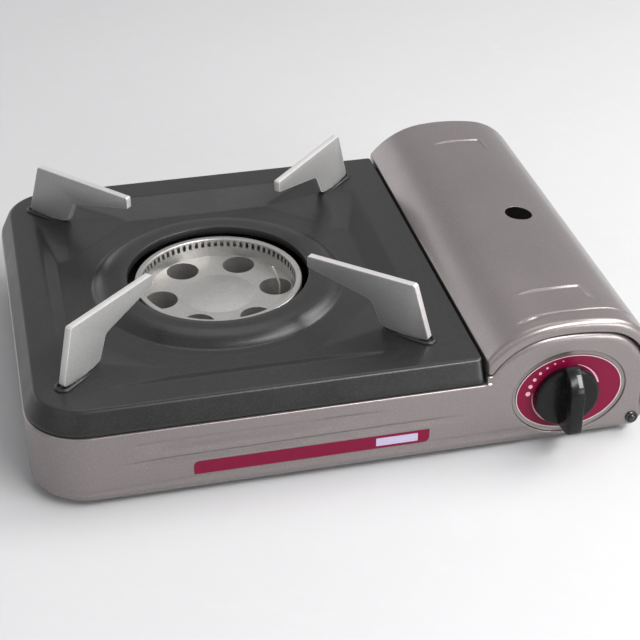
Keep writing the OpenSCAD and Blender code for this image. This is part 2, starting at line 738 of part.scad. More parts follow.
// the outer face of the diaphragm drum, and its four screw axes along +X
module diaphragm_axes() {
    translate([drum_x, drum_y, drum_z]) rotate([0, 90, 0])
        for (a = [45:90:315]) rotate([0, 0, a]) translate([drum_r - 3.4, 0, 0]) children();
}

module diaphragm_cap() color([0.6, 0.6, 0.6]) difference() {
    translate([drum_x, drum_y, drum_z]) rotate([0, 90, 0]) {
        cylinder(r = drum_r, h = 2);
        cylinder(r = drum_r / 2 - 0.5, h = 4.5);
    }
    diaphragm_axes() translate([0, 0, -1]) cylinder(r = 1.25, h = 4, $fn = 32);
}

module diaphragm_screws() color([0.8, 0.75, 0.55]) diaphragm_axes() {
    translate([0, 0, -3.5]) cylinder(r = 1.2, h = 5.5 + eps, $fn = 32);
    translate([0, 0, 2]) cylinder(r = 2.4, h = head_h, $fn = 32);
}

module port_seal() color([0.08, 0.08, 0.08])
    translate([canister_x, bay_y + port_out - 2, canister_z]) rotate([-90, 0, 0]) rotate_extrude()
        translate([socket_r + 0.1, 0]) square([1.8, 1.6]);

module magnet_ring() color([0.3, 0.3, 0.32])
    translate([canister_x, bay_y, canister_z]) rotate([-90, 0, 0]) rotate_extrude()
        translate([13, 0]) square([8, magnet_t]);

module eject_rods() {
    for (s = [0, 180]) translate([canister_x, bay_y, canister_z]) rotate([0, -rod_a - s, 0])
        translate([rod_pitch, 0, 0]) rotate([90, 0, 0]) children();
}

module canister_ejector() color([0.75, 0.72, 0.5]) {
    translate([canister_x, eject_y, canister_z]) rotate([-90, 0, 0]) rotate_extrude()
        translate([eject_in, 0]) square([eject_out - eject_in, eject_t]);
    eject_rods() translate([0, 0, -0.5]) cylinder(r = rod_r, h = 22, $fn = 32);
}

module canister_cradle() color([0.7, 0.7, 0.7]) difference() {
    translate([canister_x, cradle_y0, canister_z]) rotate([-90, 0, 0]) rotate([0, 0, 45])
        rotate_extrude(angle = 90) translate([cradle_r, 0]) square([cradle_t, cradle_y1 - cradle_y0]);
    for (y = [cradle_y0 + 20, cradle_y1 - 20]) translate([canister_x, y, 0]) cylinder(r = 2, h = 20);
}

module cradle_rivets() color([0.6, 0.6, 0.6])
    for (y = [cradle_y0 + 20, cradle_y1 - 20]) translate([canister_x, y, floor_z])
        cylinder(r = 2 - touch_gap, h = cradle_t);

// ---- igniter ----

module piezo_housing() color([0.85, 0.83, 0.78]) difference() {
    box(knob_x - piezo_w / 2, knob_x + piezo_w / 2, front_y + oval_depth + case_t, front_y + 14,
        piezo_z0, piezo_z0 + piezo_h);
    translate([knob_x, plunger_y, piezo_z0 - 1]) cylinder(r = plunger_r + run_gap, h = bore_top - piezo_z0 + 1);
}

module piezo_plunger() color([0.9, 0.9, 0.9]) {
    tip = knob_z + cam_r + cam_gap;
    translate([knob_x, plunger_y, 0]) {
        translate([0, 0, tip + 1.5]) sphere(r = 1.5, $fn = 48);
        translate([0, 0, tip + 1.5]) cylinder(r = 1.5, h = 4);
        translate([0, 0, tip + 4]) cylinder(r = plunger_r, h = plunger_top - tip - 4);
    }
}

module plunger_spring() color([0.7, 0.7, 0.7])
    translate([knob_x, plunger_y, plunger_top]) rotate_extrude()
        translate([1, 0]) square([1.1, bore_top - plunger_top]);

// the cam's radius rises evenly over the knob's travel, clockwise from the top seen from the front
function cam_radius(a) =
    a <= knob_travel + 8 ? cam_r + igniter_stroke * max(a, 0) / knob_travel :
    max(cam_r, cam_r + igniter_stroke * (1.08 - (a - knob_travel - 8) / 50));

module igniter_cam() color([0.9, 0.9, 0.88]) difference() {
    along_y(cam_y, cam_y + cam_t) translate([knob_x, knob_z])
        polygon([for (i = [0:71]) cam_radius(5 * i) * [sin(5 * i), cos(5 * i)]]);
    rod_y(knob_x, knob_z, spindle_r, cam_y - 1, cam_y + cam_t + 1);
}

// ---- knob ----

module valve_spindle() color([0.75, 0.6, 0.3])
    rod_y(knob_x, knob_z, spindle_r, front_y - knob_out + 8, bay_y - 13);

module knob() color([0.09, 0.09, 0.1]) difference() {
    union() {
        rod_y(knob_x, knob_z, knob_r, front_y - disc_t, front_y + oval_depth - dial_t - 0.4);
        translate([knob_x - grip_w / 2, front_y, knob_z]) rotate([90, 0, 90]) linear_extrude(grip_w)
            polygon([[-disc_t + 1, knob_r - 1], [-disc_t - 1.5, knob_r - 0.6], [-knob_out + 4, knob_r - 3.6],
                     [-knob_out + 1, knob_r - 6], [-knob_out, knob_r - 9], [-knob_out, -knob_r + 7.5],
                     [-knob_out + 1.6, -knob_r + 4.5], [-disc_t, -knob_r + 0.5],
                     [-disc_t + 1, -knob_r + 0.5]]);
    }
    rod_y(knob_x, knob_z, spindle_r, front_y - knob_out + 8, front_y + 5);
}

module dial_plate() color([0.49, 0.09, 0.22]) difference() {
    along_y(front_y + oval_depth - dial_t, front_y + oval_depth)
        translate([oval_x, oval_z]) polygon(oval(oval_a - dial_rim, oval_b - dial_rim - 0.6));
    rod_y(knob_x, knob_z, spindle_r + 1.5, front_y - 1, front_y + 5);
}

label_x0 = left_x + 83.6;
label_x1 = label_x0 + 127.6;
label_z0 = foot_h + 11;
label_z1 = label_z0 + 8;
label_r = 3;
label_t = 0.25;

module front_label() color([0.49, 0.09, 0.22]) along_y(front_y - label_t, front_y)
    polygon(concat([[label_x0, label_z0]],
                   arc(label_x1 - label_r, label_z0 + label_r, label_r, -90, 0, 5),
                   [[label_x1, label_z1]],
                   arc(label_x0 + label_r, label_z1 - label_r, label_r, 90, 180, 5)));

// ---- lid ----

peep_x = knob_x + 11.8;
peep_y = burner_y - 5.7;

module lid_section() {
    inner = lid_line(lid_t, lid_left + lid_t);
    polygon(concat([[lid_left, lid_low]], lid_line(0, lid_left), [[right_x, wall_low],
                    [right_x - lid_t, wall_low]],
                   [for (i = [len(inner) - 1:-1:0]) inner[i]],
                   [[lid_left + lid_t, lid_low]]));
}

module lid_lip() {
    inner = lid_line(lip_w, flank_at(lid_low, lip_w));
    polygon(concat([[lid_left, lid_low]], lid_line(0, lid_left), [[right_x, wall_low],
                    [right_x - lip_w, wall_low]],
                   [for (i = [len(inner) - 1:-1:0]) inner[i]]));
}

module lid_ear(y) {
    difference() {
        union() {
            rod_y(hinge_x, hinge_z, ear_r, y, y + ear_t);
            along_y(y, y + ear_t) polygon([[hinge_x, hinge_z + ear_r], [right_x - lid_t / 2, wall_ear],
                                           [right_x - lid_t / 2, wall_low],
                                           [hinge_x + ear_r * 0.7, hinge_z - ear_r * 0.7]]);
        }
        rod_y(hinge_x, hinge_z, pin_r + shaft_gap, y - 1, y + ear_t + 1);
    }
}

module lid() color([0.66, 0.62, 0.62]) {
    difference() {
        union() {
            along_y(front_y, back_y) lid_section();
            along_y(front_y, front_y + lid_t) lid_lip();
            along_y(back_y - lid_t, back_y) lid_lip();
        }
        translate([peep_x, peep_y, hub_z]) cylinder(r = peep_r, h = lid_h);
    }
    lid_ear(front_y + ear_y);
    lid_ear(back_y - ear_y - ear_t);
}

// ---- hinge ----

module hinge_pins() color([0.07, 0.07, 0.07]) {
    rod_y(hinge_x, hinge_z, pin_head_r, front_y - pin_head_h, front_y);
    rod_y(hinge_x, hinge_z, pin_r, front_y - eps, front_y + ear_y + ear_t + 2.4);
    rod_y(hinge_x, hinge_z, pin_r, back_y - ear_y - ear_t - 2.4, back_y + eps);
    rod_y(hinge_x, hinge_z, pin_head_r, back_y, back_y + pin_head_h);
}

module hinge_brackets() color([0.7, 0.7, 0.7])
    for (y = [front_y + ear_y + ear_t + 0.6, back_y - ear_y - ear_t - 0.6 - bracket_t]) difference() {
        along_y(y, y + bracket_t) polygon([[hinge_x - 5, floor_z + 0.9], [case_right - 4, floor_z + 0.9],
            [case_right - 2.2, floor_z + 2.4], [case_right - case_t, foot_h + edge_r],
            [case_right - case_t, hinge_z + 5.5], [hinge_x - 5, hinge_z + 5.5]]);
        rod_y(hinge_x, hinge_z, pin_r + touch_gap / 2, y - 1, y + bracket_t + 1);
    }

case();
feet();
drip_plate();
pan_support_front_left();
pan_support_front_right();
pan_support_back_left();
pan_support_back_right();
burner_bowl();
burner_cup();
burner_bracket();
burner_screws();
mixing_tube();
gas_nozzle();
electrode_bracket();
electrode_insulator();
spark_electrode();
ignition_lead();
heat_shield();
heat_conduction_plate();
regulator_cover();
regulator_block();
diaphragm_cap();
diaphragm_screws();
port_seal();
magnet_ring();
canister_ejector();
canister_cradle();
cradle_rivets();
piezo_housing();
piezo_plunger();
plunger_spring();
igniter_cam();
valve_spindle();
knob();
dial_plate();
front_label();
lid();
hinge_pins();
hinge_brackets();
shield_screws();
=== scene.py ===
import bpy, bmesh
import numpy as np
from math import asin, atan2, cos, degrees, pi, radians, sin, sqrt
from mathutils import Matrix, Vector


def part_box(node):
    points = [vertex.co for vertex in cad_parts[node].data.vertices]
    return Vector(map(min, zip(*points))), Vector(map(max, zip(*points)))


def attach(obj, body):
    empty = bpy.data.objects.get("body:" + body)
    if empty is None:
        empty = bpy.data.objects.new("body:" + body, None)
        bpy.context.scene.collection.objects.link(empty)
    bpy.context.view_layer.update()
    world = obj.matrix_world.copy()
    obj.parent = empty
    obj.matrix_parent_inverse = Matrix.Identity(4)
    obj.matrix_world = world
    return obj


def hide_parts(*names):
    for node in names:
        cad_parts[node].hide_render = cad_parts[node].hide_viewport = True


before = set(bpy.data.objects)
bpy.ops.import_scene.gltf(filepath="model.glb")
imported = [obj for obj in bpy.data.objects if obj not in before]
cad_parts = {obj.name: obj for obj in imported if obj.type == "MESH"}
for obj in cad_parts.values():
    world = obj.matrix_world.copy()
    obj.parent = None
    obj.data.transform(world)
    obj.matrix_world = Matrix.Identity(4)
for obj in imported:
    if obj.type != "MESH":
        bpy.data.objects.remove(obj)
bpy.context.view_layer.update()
scene = bpy.context.scene
mm = 0.001  # every shape below is drawn in millimetres


def newObject(name, data):
    obj = bpy.data.objects.new(name, data)
    scene.collection.objects.link(obj)
    return obj


def unit(v):
    return np.clip(v, 0, 1)


def pointsAt(x, y, z):
    return np.stack(np.broadcast_arrays(x, y, z), axis=-1)


photoCamera = {"place": (-168.0, -773.8, 531.6), "yaw": 12.83, "pitch": 32.71, "roll": -0.17,
               "lens": 89.48, "sensor": 36.0, "clip": 0.02}


def makeCamera(c):
    yaw, pitch, roll = (radians(c[k]) for k in ("yaw", "pitch", "roll"))
    ahead = Vector((sin(yaw) * cos(pitch), cos(yaw) * cos(pitch), -sin(pitch)))
    side = Vector((cos(yaw), -sin(yaw), 0))
    above = side.cross(ahead)
    right = side * cos(roll) + above * sin(roll)
    up = above * cos(roll) - side * sin(roll)
    data = bpy.data.cameras.new("photoCamera")
    data.sensor_width, data.lens, data.clip_start = c["sensor"], c["lens"], c["clip"]
    cam = newObject("photoCamera", data)
    turn = Matrix((right, up, -ahead)).transposed().to_4x4()
    cam.matrix_world = Matrix.Translation(Vector(c["place"]) * mm) @ turn
    scene.camera = cam


makeCamera(photoCamera)
print("camera set")


def node(tree, kind, **values):
    n = tree.nodes.new(kind)
    for key, value in values.items():
        if key in n.inputs.keys():
            n.inputs[key].default_value = value
        else:
            setattr(n, key, value)
    return n


def noiseAt(tree, place, scale, detail, rough=0.55, stretch=None):
    tex = node(tree, "ShaderNodeTexNoise", Scale=scale, Detail=detail, Roughness=rough)
    if stretch:
        turn = node(tree, "ShaderNodeMapping", Scale=stretch)
        tree.links.new(place, turn.inputs["Vector"])
        place = turn.outputs["Vector"]
    tree.links.new(place, tex.inputs["Vector"])
    return tex.outputs["Fac"]


def spread(tree, source, low, high, start=0.3, end=0.7):
    m = node(tree, "ShaderNodeMapRange")
    m.inputs["From Min"].default_value, m.inputs["From Max"].default_value = start, end
    m.inputs["To Min"].default_value, m.inputs["To Max"].default_value = low, high
    tree.links.new(source, m.inputs["Value"])
    return m.outputs["Result"]


def blendColours(tree, share, first, second):
    mix = node(tree, "ShaderNodeMix", data_type="RGBA")
    for socket, value in ((mix.inputs[6], first), (mix.inputs[7], second)):
        if isinstance(value, (tuple, list)):
            socket.default_value = (*value, 1.0)
        else:
            tree.links.new(value, socket)
    tree.links.new(share, mix.inputs[0])
    return mix.outputs[2]


surface = {"darker": 0.86, "brighter": 1.5, "speckFrom": 0.5, "speckTo": 0.78, "roughPatch": 7,
           "roughSpread": 0.08}


def finish(name, colour, rough, metal=0.0, second=None, patchScale=9.0, grain=None, grainScale=900.0,
           grainShare=0.25, bumpHeight=0.03, bumpScale=1200.0, coat=0.0, coatRough=0.1, specular=0.5,
           stretch=None):
    # a painted, cast or moulded surface: patches, a fine grain, uneven roughness and a fine bump
    mat = bpy.data.materials.new(name)
    mat.use_nodes = True
    mat.diffuse_color = (*colour, 1.0)
    tree = mat.node_tree
    tree.nodes.clear()
    out = node(tree, "ShaderNodeOutputMaterial")
    shader = node(tree, "ShaderNodeBsdfPrincipled")
    for label, value in (("Metallic", metal), ("Specular IOR Level", specular), ("Coat Weight", coat),
                         ("Coat Roughness", coatRough)):
        shader.inputs[label].default_value = value
    tree.links.new(shader.outputs["BSDF"], out.inputs["Surface"])
    place = node(tree, "ShaderNodeTexCoord").outputs["Object"]
    patch = noiseAt(tree, place, patchScale, 4.0)
    second = second or tuple(v * surface["darker"] for v in colour)
    tint = blendColours(tree, spread(tree, patch, 0.0, 1.0), second, colour)
    fine = noiseAt(tree, place, grainScale, 2.0, 0.7, stretch)
    grain = grain or tuple(min(v * surface["brighter"], 1.0) for v in colour)
    speck = spread(tree, fine, 0.0, grainShare, surface["speckFrom"], surface["speckTo"])
    tree.links.new(blendColours(tree, speck, tint, grain), shader.inputs["Base Color"])
    worn = noiseAt(tree, place, patchScale * surface["roughPatch"], 3.0)
    half = surface["roughSpread"] / 2
    tree.links.new(spread(tree, worn, rough - half, rough + half), shader.inputs["Roughness"])
    bump = node(tree, "ShaderNodeBump", Strength=1.0, Distance=bumpHeight * mm)
    tree.links.new(noiseAt(tree, place, bumpScale, 2.0, 0.6, stretch), bump.inputs["Height"])
    tree.links.new(bump.outputs["Normal"], shader.inputs["Normal"])
    return mat


paint = finish("satinRosePaint", (0.262, 0.23, 0.228), 0.33, metal=0.75, second=(0.236, 0.207, 0.205),
               patchScale=5.0, grain=(0.46, 0.42, 0.415), grainShare=0.45, grainScale=1500.0, bumpHeight=0.02,
               bumpScale=1500.0, coat=0.35, coatRough=0.16)
plateCoat = finish("darkPlateCoat", (0.0098, 0.0096, 0.0098), 0.335, second=(0.0082, 0.008, 0.0082),
                   patchScale=6.0, grain=(0.06, 0.061, 0.062), grainShare=0.45, grainScale=1300.0,
                   bumpScale=1300.0)
supportSteel = finish("sprayedSteel", (0.35, 0.35, 0.346), 0.45, metal=0.25, second=(0.3, 0.3, 0.297),
                      grain=(0.55, 0.55, 0.545), grainShare=0.5, grainScale=1500.0, bumpScale=1500.0)
wornEdge = finish("wornSteelEdge", (0.66, 0.645, 0.635), 0.38, metal=0.35, second=(0.52, 0.5, 0.49),
                  grain=(0.8, 0.79, 0.78), grainShare=0.4)
burnerAlloy = finish("castAluminium", (0.47, 0.46, 0.445), 0.4, metal=0.85, second=(0.41, 0.4, 0.387),
                     patchScale=14.0, grain=(0.7, 0.69, 0.67), grainShare=0.35, grainScale=700.0,
                     bumpHeight=0.06, bumpScale=500.0)
zinc = finish("zincSheet", (0.55, 0.55, 0.54), 0.36, metal=0.85, second=(0.42, 0.42, 0.425), patchScale=40.0,
              grain=(0.65, 0.65, 0.64), grainScale=600.0, bumpScale=700.0)
screwSteel = finish("screwSteel", (0.5, 0.48, 0.42), 0.3, metal=0.9, grainScale=2000.0, bumpScale=2000.0)
brass = finish("turnedBrass", (0.62, 0.45, 0.2), 0.3, metal=0.9, stretch=(0.2, 8.0, 0.2), grainScale=300.0,
               bumpScale=400.0)
ceramic = finish("whiteCeramic", (0.78, 0.76, 0.7), 0.3, coat=0.5, grainScale=500.0, grain=(0.85, 0.84, 0.8))
electrodeWire = finish("electrodeWire", (0.7, 0.68, 0.65), 0.32, metal=0.6, grainScale=2500.0)
leadRubber = finish("leadRubber", (0.02, 0.02, 0.021), 0.55, grain=(0.06, 0.06, 0.06), bumpScale=900.0)
conductionAluminium = finish("rolledAluminium", (0.68, 0.68, 0.68), 0.32, metal=0.9, stretch=(1.0, 30.0, 1.0),
                             grainScale=120.0, bumpScale=160.0)
regulatorAlloy = finish("dieCastZinc", (0.46, 0.45, 0.43), 0.45, metal=0.8, bumpHeight=0.08, bumpScale=400.0)
sealRubber = finish("sealRubber", (0.018, 0.018, 0.018), 0.6, grain=(0.05, 0.05, 0.05))
magnetBlack = finish("magnetFerrite", (0.05, 0.05, 0.053), 0.5, grain=(0.13, 0.13, 0.13), grainScale=1200.0)
igniterPlastic = finish("ivoryPlastic", (0.62, 0.58, 0.5), 0.42, grainScale=700.0, grainShare=0.15)
springSteel = finish("springSteel", (0.55, 0.54, 0.52), 0.28, metal=0.95, grainScale=2000.0)
footRubber = finish("footRubber", (0.03, 0.03, 0.031), 0.65, grain=(0.08, 0.08, 0.08), bumpHeight=0.06,
                    bumpScale=800.0)
knobPlastic = finish("blackKnobPlastic", (0.006, 0.006, 0.0065), 0.26, second=(0.005, 0.005, 0.0055),
                     grain=(0.012, 0.012, 0.0125), grainScale=1400.0, bumpHeight=0.012, coat=0.1,
                     coatRough=0.12, specular=0.2)
pointerPaint = finish("palePointerPaint", (0.2, 0.21, 0.21), 0.4, grainScale=1500.0)
crimsonPrint = finish("crimsonPrint", (0.19, 0.0035, 0.034), 0.42, second=(0.178, 0.003, 0.031),
                      grain=(0.23, 0.008, 0.05), grainShare=0.3, grainScale=2200.0, bumpHeight=0.006,
                      bumpScale=900.0, specular=0.2)
palePrint = finish("palePinkPrint", (0.72, 0.42, 0.5), 0.42, grainScale=1800.0, bumpHeight=0.004)
lavenderPrint = finish("lavenderPrint", (0.5, 0.45, 0.62), 0.42, grainScale=1800.0, bumpHeight=0.004)
silverPrint = finish("silverPrint", (0.62, 0.58, 0.58), 0.34, metal=0.3, grainScale=1800.0, bumpHeight=0.01)
pinBlack = finish("blackPin", (0.006, 0.006, 0.0065), 0.18, grain=(0.03, 0.03, 0.03), grainScale=1200.0,
                  coat=0.4)
print("finishes made")


def newSkin():
    return {"points": [], "faces": [], "count": 0}


def addGrid(skin, p, outward, keep=None, closed=False):
    # p has rows x columns x 3; outward is a vector, or gives one for a face's centre
    rows, cols, _ = p.shape
    number = skin["count"] + np.arange(rows * cols).reshape(rows, cols)
    after = np.roll(number, -1, axis=1) if closed else number[:, 1:]
    before = number if closed else number[:, :-1]
    quads = np.stack([before[:-1], after[:-1], after[1:], before[1:]], axis=-1)
    flat = p.reshape(-1, 3)
    a, b, c, d = (flat[quads[..., k] - skin["count"]] for k in range(4))
    normals = np.cross(c - a, d - b)
    centres = (a + b + c + d) / 4
    want = outward(centres) if callable(outward) else np.broadcast_to(np.array(outward, float), centres.shape)
    if (normals * want).sum() < 0:
        quads = quads[..., ::-1]
    if keep is not None:
        quads = quads[keep]
    skin["points"].append(flat)
    skin["faces"].append(quads.reshape(-1, 4))
    skin["count"] += rows * cols


def skinObject(skin, name, weld=0.02):
    mesh = bpy.data.meshes.new(name)
    points, faces = (np.concatenate(skin[k]) for k in ("points", "faces"))
    mesh.from_pydata((points * mm).tolist(), [], faces.tolist())
    bm = bmesh.new()
    bm.from_mesh(mesh)
    bmesh.ops.remove_doubles(bm, verts=bm.verts, dist=weld * mm)
    bmesh.ops.dissolve_degenerate(bm, edges=bm.edges, dist=0.004 * mm)
    loose = [v for v in bm.verts if not v.link_faces]
    bmesh.ops.delete(bm, geom=loose, context="VERTS")
    bm.to_mesh(mesh)
    bm.free()
    return newObject(name, mesh)


def bake(obj):
    graph = bpy.context.evaluated_depsgraph_get()
    mesh = bpy.data.meshes.new_from_object(obj.evaluated_get(graph))
    obj.modifiers.clear()
    obj.data = mesh


def thicken(obj, t):
    mod = obj.modifiers.new("sheet", "SOLIDIFY")
    mod.thickness, mod.offset, mod.use_even_offset = t * mm, -1.0, False
    bake(obj)


def soften(obj, width, segments=2, angle=40, edgeMaterial=-1):
    mod = obj.modifiers.new("edges", "BEVEL")
    mod.width, mod.segments, mod.limit_method = width * mm, segments, "ANGLE"
    mod.angle_limit, mod.material, mod.harden_normals = radians(angle), edgeMaterial, False
    bake(obj)


def dress(obj, mats, body, replaced=(), angle=32):
    # mats is empty where the mesh has its materials already
    if mats:
        obj.data.materials.clear()
    for m in mats:
        obj.data.materials.append(m)
    obj.data.shade_smooth()
    obj.data.set_sharp_from_angle(angle=radians(angle))
    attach(obj, body)
    if replaced:
        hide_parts(*replaced)
    return obj


def prism(name, outline, thickness, toWorld):
    # a closed outline, drawn flat, given a thickness; toWorld places (u, v, w)
    n = len(outline)
    low = [toWorld(u, v, 0.0) for u, v in outline]
    high = [toWorld(u, v, thickness) for u, v in outline]
    mesh = bpy.data.meshes.new(name)
    sides = [(i, (i + 1) % n, n + (i + 1) % n, n + i) for i in range(n)]
    ends = [list(range(n))[::-1], list(range(n, 2 * n))]
    mesh.from_pydata((np.array(low + high) * mm).tolist(), [], ends + sides)
    bm = bmesh.new()
    bm.from_mesh(mesh)
    bmesh.ops.recalc_face_normals(bm, faces=bm.faces)
    bm.to_mesh(mesh)
    bm.free()
    return newObject(name, mesh)


def lathe(name, profile, steps, toWorld):
    # profile is (radius, height) from the axis outwards; toWorld places (x, y, height)
    turn = np.arange(steps) * 2 * pi / steps
    p = np.array([[toWorld(r * cos(t), r * sin(t), h) for t in turn] for r, h in profile])
    skin = newSkin()
    middle = p.reshape(-1, 3).mean(0)
    addGrid(skin, p, lambda c: c - middle, closed=True)
    return skinObject(skin, name)


def arcPoints(cx, cy, r, a0, a1, n):
    t = np.radians(np.linspace(a0, a1, n + 1))
    return [(cx + r * cos(a), cy + r * sin(a)) for a in t]


def longHole(x, y, half, r, n):
    return arcPoints(x, y + half, r, 0, 180, n) + arcPoints(x, y - half, r, 180, 360, n)


def segmentDistance(x, y, a, b):
    ax, ay, bx, by = *a, *b
    t = unit(((x - ax) * (bx - ax) + (y - ay) * (by - ay)) / ((bx - ax) ** 2 + (by - ay) ** 2))
    return np.hypot(x - ax - t * (bx - ax), y - ay - t * (by - ay))


def flatPlate(name, loops, thickness, toWorld):
    # a flat sheet with holes: the first loop is its outline
    data = bpy.data.curves.new(name, "CURVE")
    data.dimensions, data.fill_mode, data.extrude = "2D", "BOTH", thickness / 2 * mm
    for loop in loops:
        spline = data.splines.new("POLY")
        spline.points.add(len(loop) - 1)
        for point, (u, v) in zip(spline.points, loop):
            point.co = (u * mm, v * mm, 0.0, 1.0)
        spline.use_cyclic_u = True
    shape = newObject(name, data)
    graph = bpy.context.evaluated_depsgraph_get()
    mesh = bpy.data.meshes.new_from_object(shape.evaluated_get(graph))
    bpy.data.objects.remove(shape)
    for v in mesh.vertices:
        v.co = Vector(toWorld(v.co.x / mm, v.co.y / mm, v.co.z / mm + thickness / 2)) * mm
    return newObject(name, mesh)


def joinInto(main, *others):
    bm = bmesh.new()
    bm.from_mesh(main.data)
    for o in others:
        bm.from_mesh(o.data)
        bpy.data.objects.remove(o)
    bm.to_mesh(main.data)
    bm.free()
    return main


caseLow, caseHigh = (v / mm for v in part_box("case"))
plateLow, plateHigh = (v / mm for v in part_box("drip_plate"))
lidLow, lidHigh = (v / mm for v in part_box("lid"))
bowlLow, bowlHigh = (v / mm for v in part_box("burner_bowl"))
knobLow, knobHigh = (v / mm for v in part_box("knob"))
front, back = caseLow.y, caseHigh.y
burner = ((bowlLow.x + bowlHigh.x) / 2, (bowlLow.y + bowlHigh.y) / 2)
knobAxis = ((knobLow.x + knobHigh.x) / 2, (knobLow.z + knobHigh.z) / 2)
supportTurns = {"back_right": 45, "back_left": 135, "front_left": 225, "front_right": 315}


def aroundBurner(r, turn):
    return burner[0] + r * np.cos(turn), burner[1] + r * np.sin(turn)


def besideBurner(along, across, angle):
    # a place along and across the line that leaves the burner's axis at this angle
    c, s = cos(radians(angle)), sin(radians(angle))
    return burner[0] + along * c - across * s, burner[1] + along * s + across * c


plate = {"base": plateLow.z, "border": plateHigh.z, "corner": 32.4, "seamCorner": 3.0, "bend": 7.2,
         "bendRadius": 2.8, "seamShare": 0.15, "recess": 6.4, "runs": (8.0, 13.0, 12.5, 19.5),
         "insets": (21.4, 22.0, 22.9, 24.9), "thick": 1.0, "hole": 52.5, "holeLow": 5.0, "ringReach": 80.0,
         "padFoot": 38.0, "padTop": 77.0, "padCorner": 121.0, "padRun": 36.0, "padDeeper": 0.5,
         "padSoft": 0.85,
         "slotFrom": 119.0, "slotTo": 138.0, "slotWide": 3.9, "slotRim": 1.5, "slotSection": 1.25,
         "fieldStep": 0.5, "columns": 460, "bunch": 1.3, "bunchTurn": 9, "slowRings": (96, 20),
         "nearRings": (44, 12)}


def roundedBox(x0, x1, y0, y1, rl, rr, n):
    # rl and rr are the radii of its left and right corners
    return (arcPoints(x1 - rr, y0 + rr, rr, -90, 0, n) + arcPoints(x1 - rr, y1 - rr, rr, 0, 90, n)
            + arcPoints(x0 + rl, y1 - rl, rl, 90, 180, n) + arcPoints(x0 + rl, y0 + rl, rl, 180, 270, n))


def plateReach(inset, turn):
    # distance from the burner's axis to the plate's outline, moved inwards, though barely beside the lid
    corner, seamCorner = max(plate["corner"] - inset, 1.0), max(plate["seamCorner"] - inset * 0.3, 0.8)
    seamSide = plateHigh.x - inset * plate["seamShare"]
    order = np.array(roundedBox(plateLow.x + inset, seamSide, plateLow.y + inset, plateHigh.y - inset, corner,
                                seamCorner, 40))
    dense = []
    for a, b in zip(order, np.roll(order, -1, axis=0)):
        count = max(int(np.hypot(*(b - a)) / 0.4), 1)
        dense.append(a + (b - a) * (np.arange(count) / count)[:, None])
    dense = np.concatenate(dense) - np.array(burner)
    angle = np.unwrap(np.arctan2(dense[:, 1], dense[:, 0]))
    far = np.hypot(dense[:, 0], dense[:, 1])
    lap = 2 * pi
    return np.interp(turn, np.concatenate([angle - lap, angle, angle + lap]), np.concatenate([far, far, far]))


def plateEdge(fine):
    # the skirt from its lower edge up to the flat border: distance inwards, height
    high = plate["border"] - plate["base"]
    r, b = plate["bendRadius"], plate["bend"]
    low = [(2.0, 0.0), (2.0, 0.55), (0.8, 0.7), (0.3, 0.95), (0.05, 1.3), (0.0, 1.7), (0.2, 2.6)]
    bend = arcPoints(b, high - r, r, 155, 90, 9 if fine else 3)
    (x0, z0), (x1, z1) = low[-1], bend[0]
    k = np.linspace(0, 1, 7 if fine else 3)[1:-1]
    return low + [(x0 + (x1 - x0) * t, z0 + (z1 - z0) * t) for t in k] + bend


def softMax(a, b, k):
    return 0.5 * (a + b + np.sqrt((a - b) ** 2 + k * k))


def blur(field, sigma, step):
    half = int(3 * sigma / step) + 1
    weights = np.exp(-0.5 * (np.arange(-half, half + 1) * step / sigma) ** 2)
    weights /= weights.sum()
    wide = np.pad(field, half, mode="edge")
    for axis in (0, 1):
        wide = np.apply_along_axis(lambda m: np.convolve(m, weights, "valid"), axis, wide)
    return wide


def pressedField():
    # the height of the pressed sheet over the plate, as the press tool leaves it
    step = plate["fieldStep"]
    xs = np.arange(plateLow.x - 2, plateHigh.x + 2, step)
    ys = np.arange(plateLow.y - 2, plateHigh.y + 2, step)
    x, y = np.meshgrid(xs, ys, indexing="ij")
    il, ir, jf, jb = plate["insets"]
    rl, rr, rf, rb = plate["runs"]
    into = [(x - plateLow.x - il) / rl, (plateHigh.x - ir - x) / rr,
            (y - plateLow.y - jf) / rf, (plateHigh.y - jb - y) / rb]
    outer = sum(np.clip(1 - s, 0, None) ** 3 for s in into) ** (1 / 3)
    recess = plate["border"] - plate["recess"] * unit(1 - outer)
    u, v = abs(x - burner[0]), abs(y - burner[1])
    rise = plate["padTop"] - plate["padFoot"]
    pad = np.minimum(np.minimum((u - plate["padFoot"]) / rise, (v - plate["padFoot"]) / rise),
                     (u + v - plate["padCorner"]) / plate["padRun"])
    deeper = plate["padDeeper"]
    pads = plate["border"] - plate["recess"] - deeper + (plate["recess"] + deeper) * unit(pad)
    return xs, ys, blur(np.maximum(recess, pads), plate["padSoft"], step)


def sample(field, x, y):
    # the pressed sheet's height at any place, between the field's own points
    xs, ys, sheet = field
    i = np.clip((x - xs[0]) / (xs[1] - xs[0]), 0, len(xs) - 1.001)
    j = np.clip((y - ys[0]) / (ys[1] - ys[0]), 0, len(ys) - 1.001)
    i0, j0 = i.astype(int), j.astype(int)
    a, b = i - i0, j - j0
    return (sheet[i0, j0] * (1 - a) * (1 - b) + sheet[i0 + 1, j0] * a * (1 - b)
            + sheet[i0, j0 + 1] * (1 - a) * b + sheet[i0 + 1, j0 + 1] * a * b)


# the raised ring round the burner: radius, and depth below the plate's border
ringProfile = {"radius": [50, 52.5, 53.6, 56, 59, 61.5, 64, 66.5, 68.5, 70.2, 71.5, 72.6, 73.6, 75, 79],
               "below": [1.4, 1.0, 0.45, 0.08, 0.0, 0.15, 0.6, 1.45, 2.5, 3.8, 5.0, 5.9, 6.4, 6.7, 6.9]}


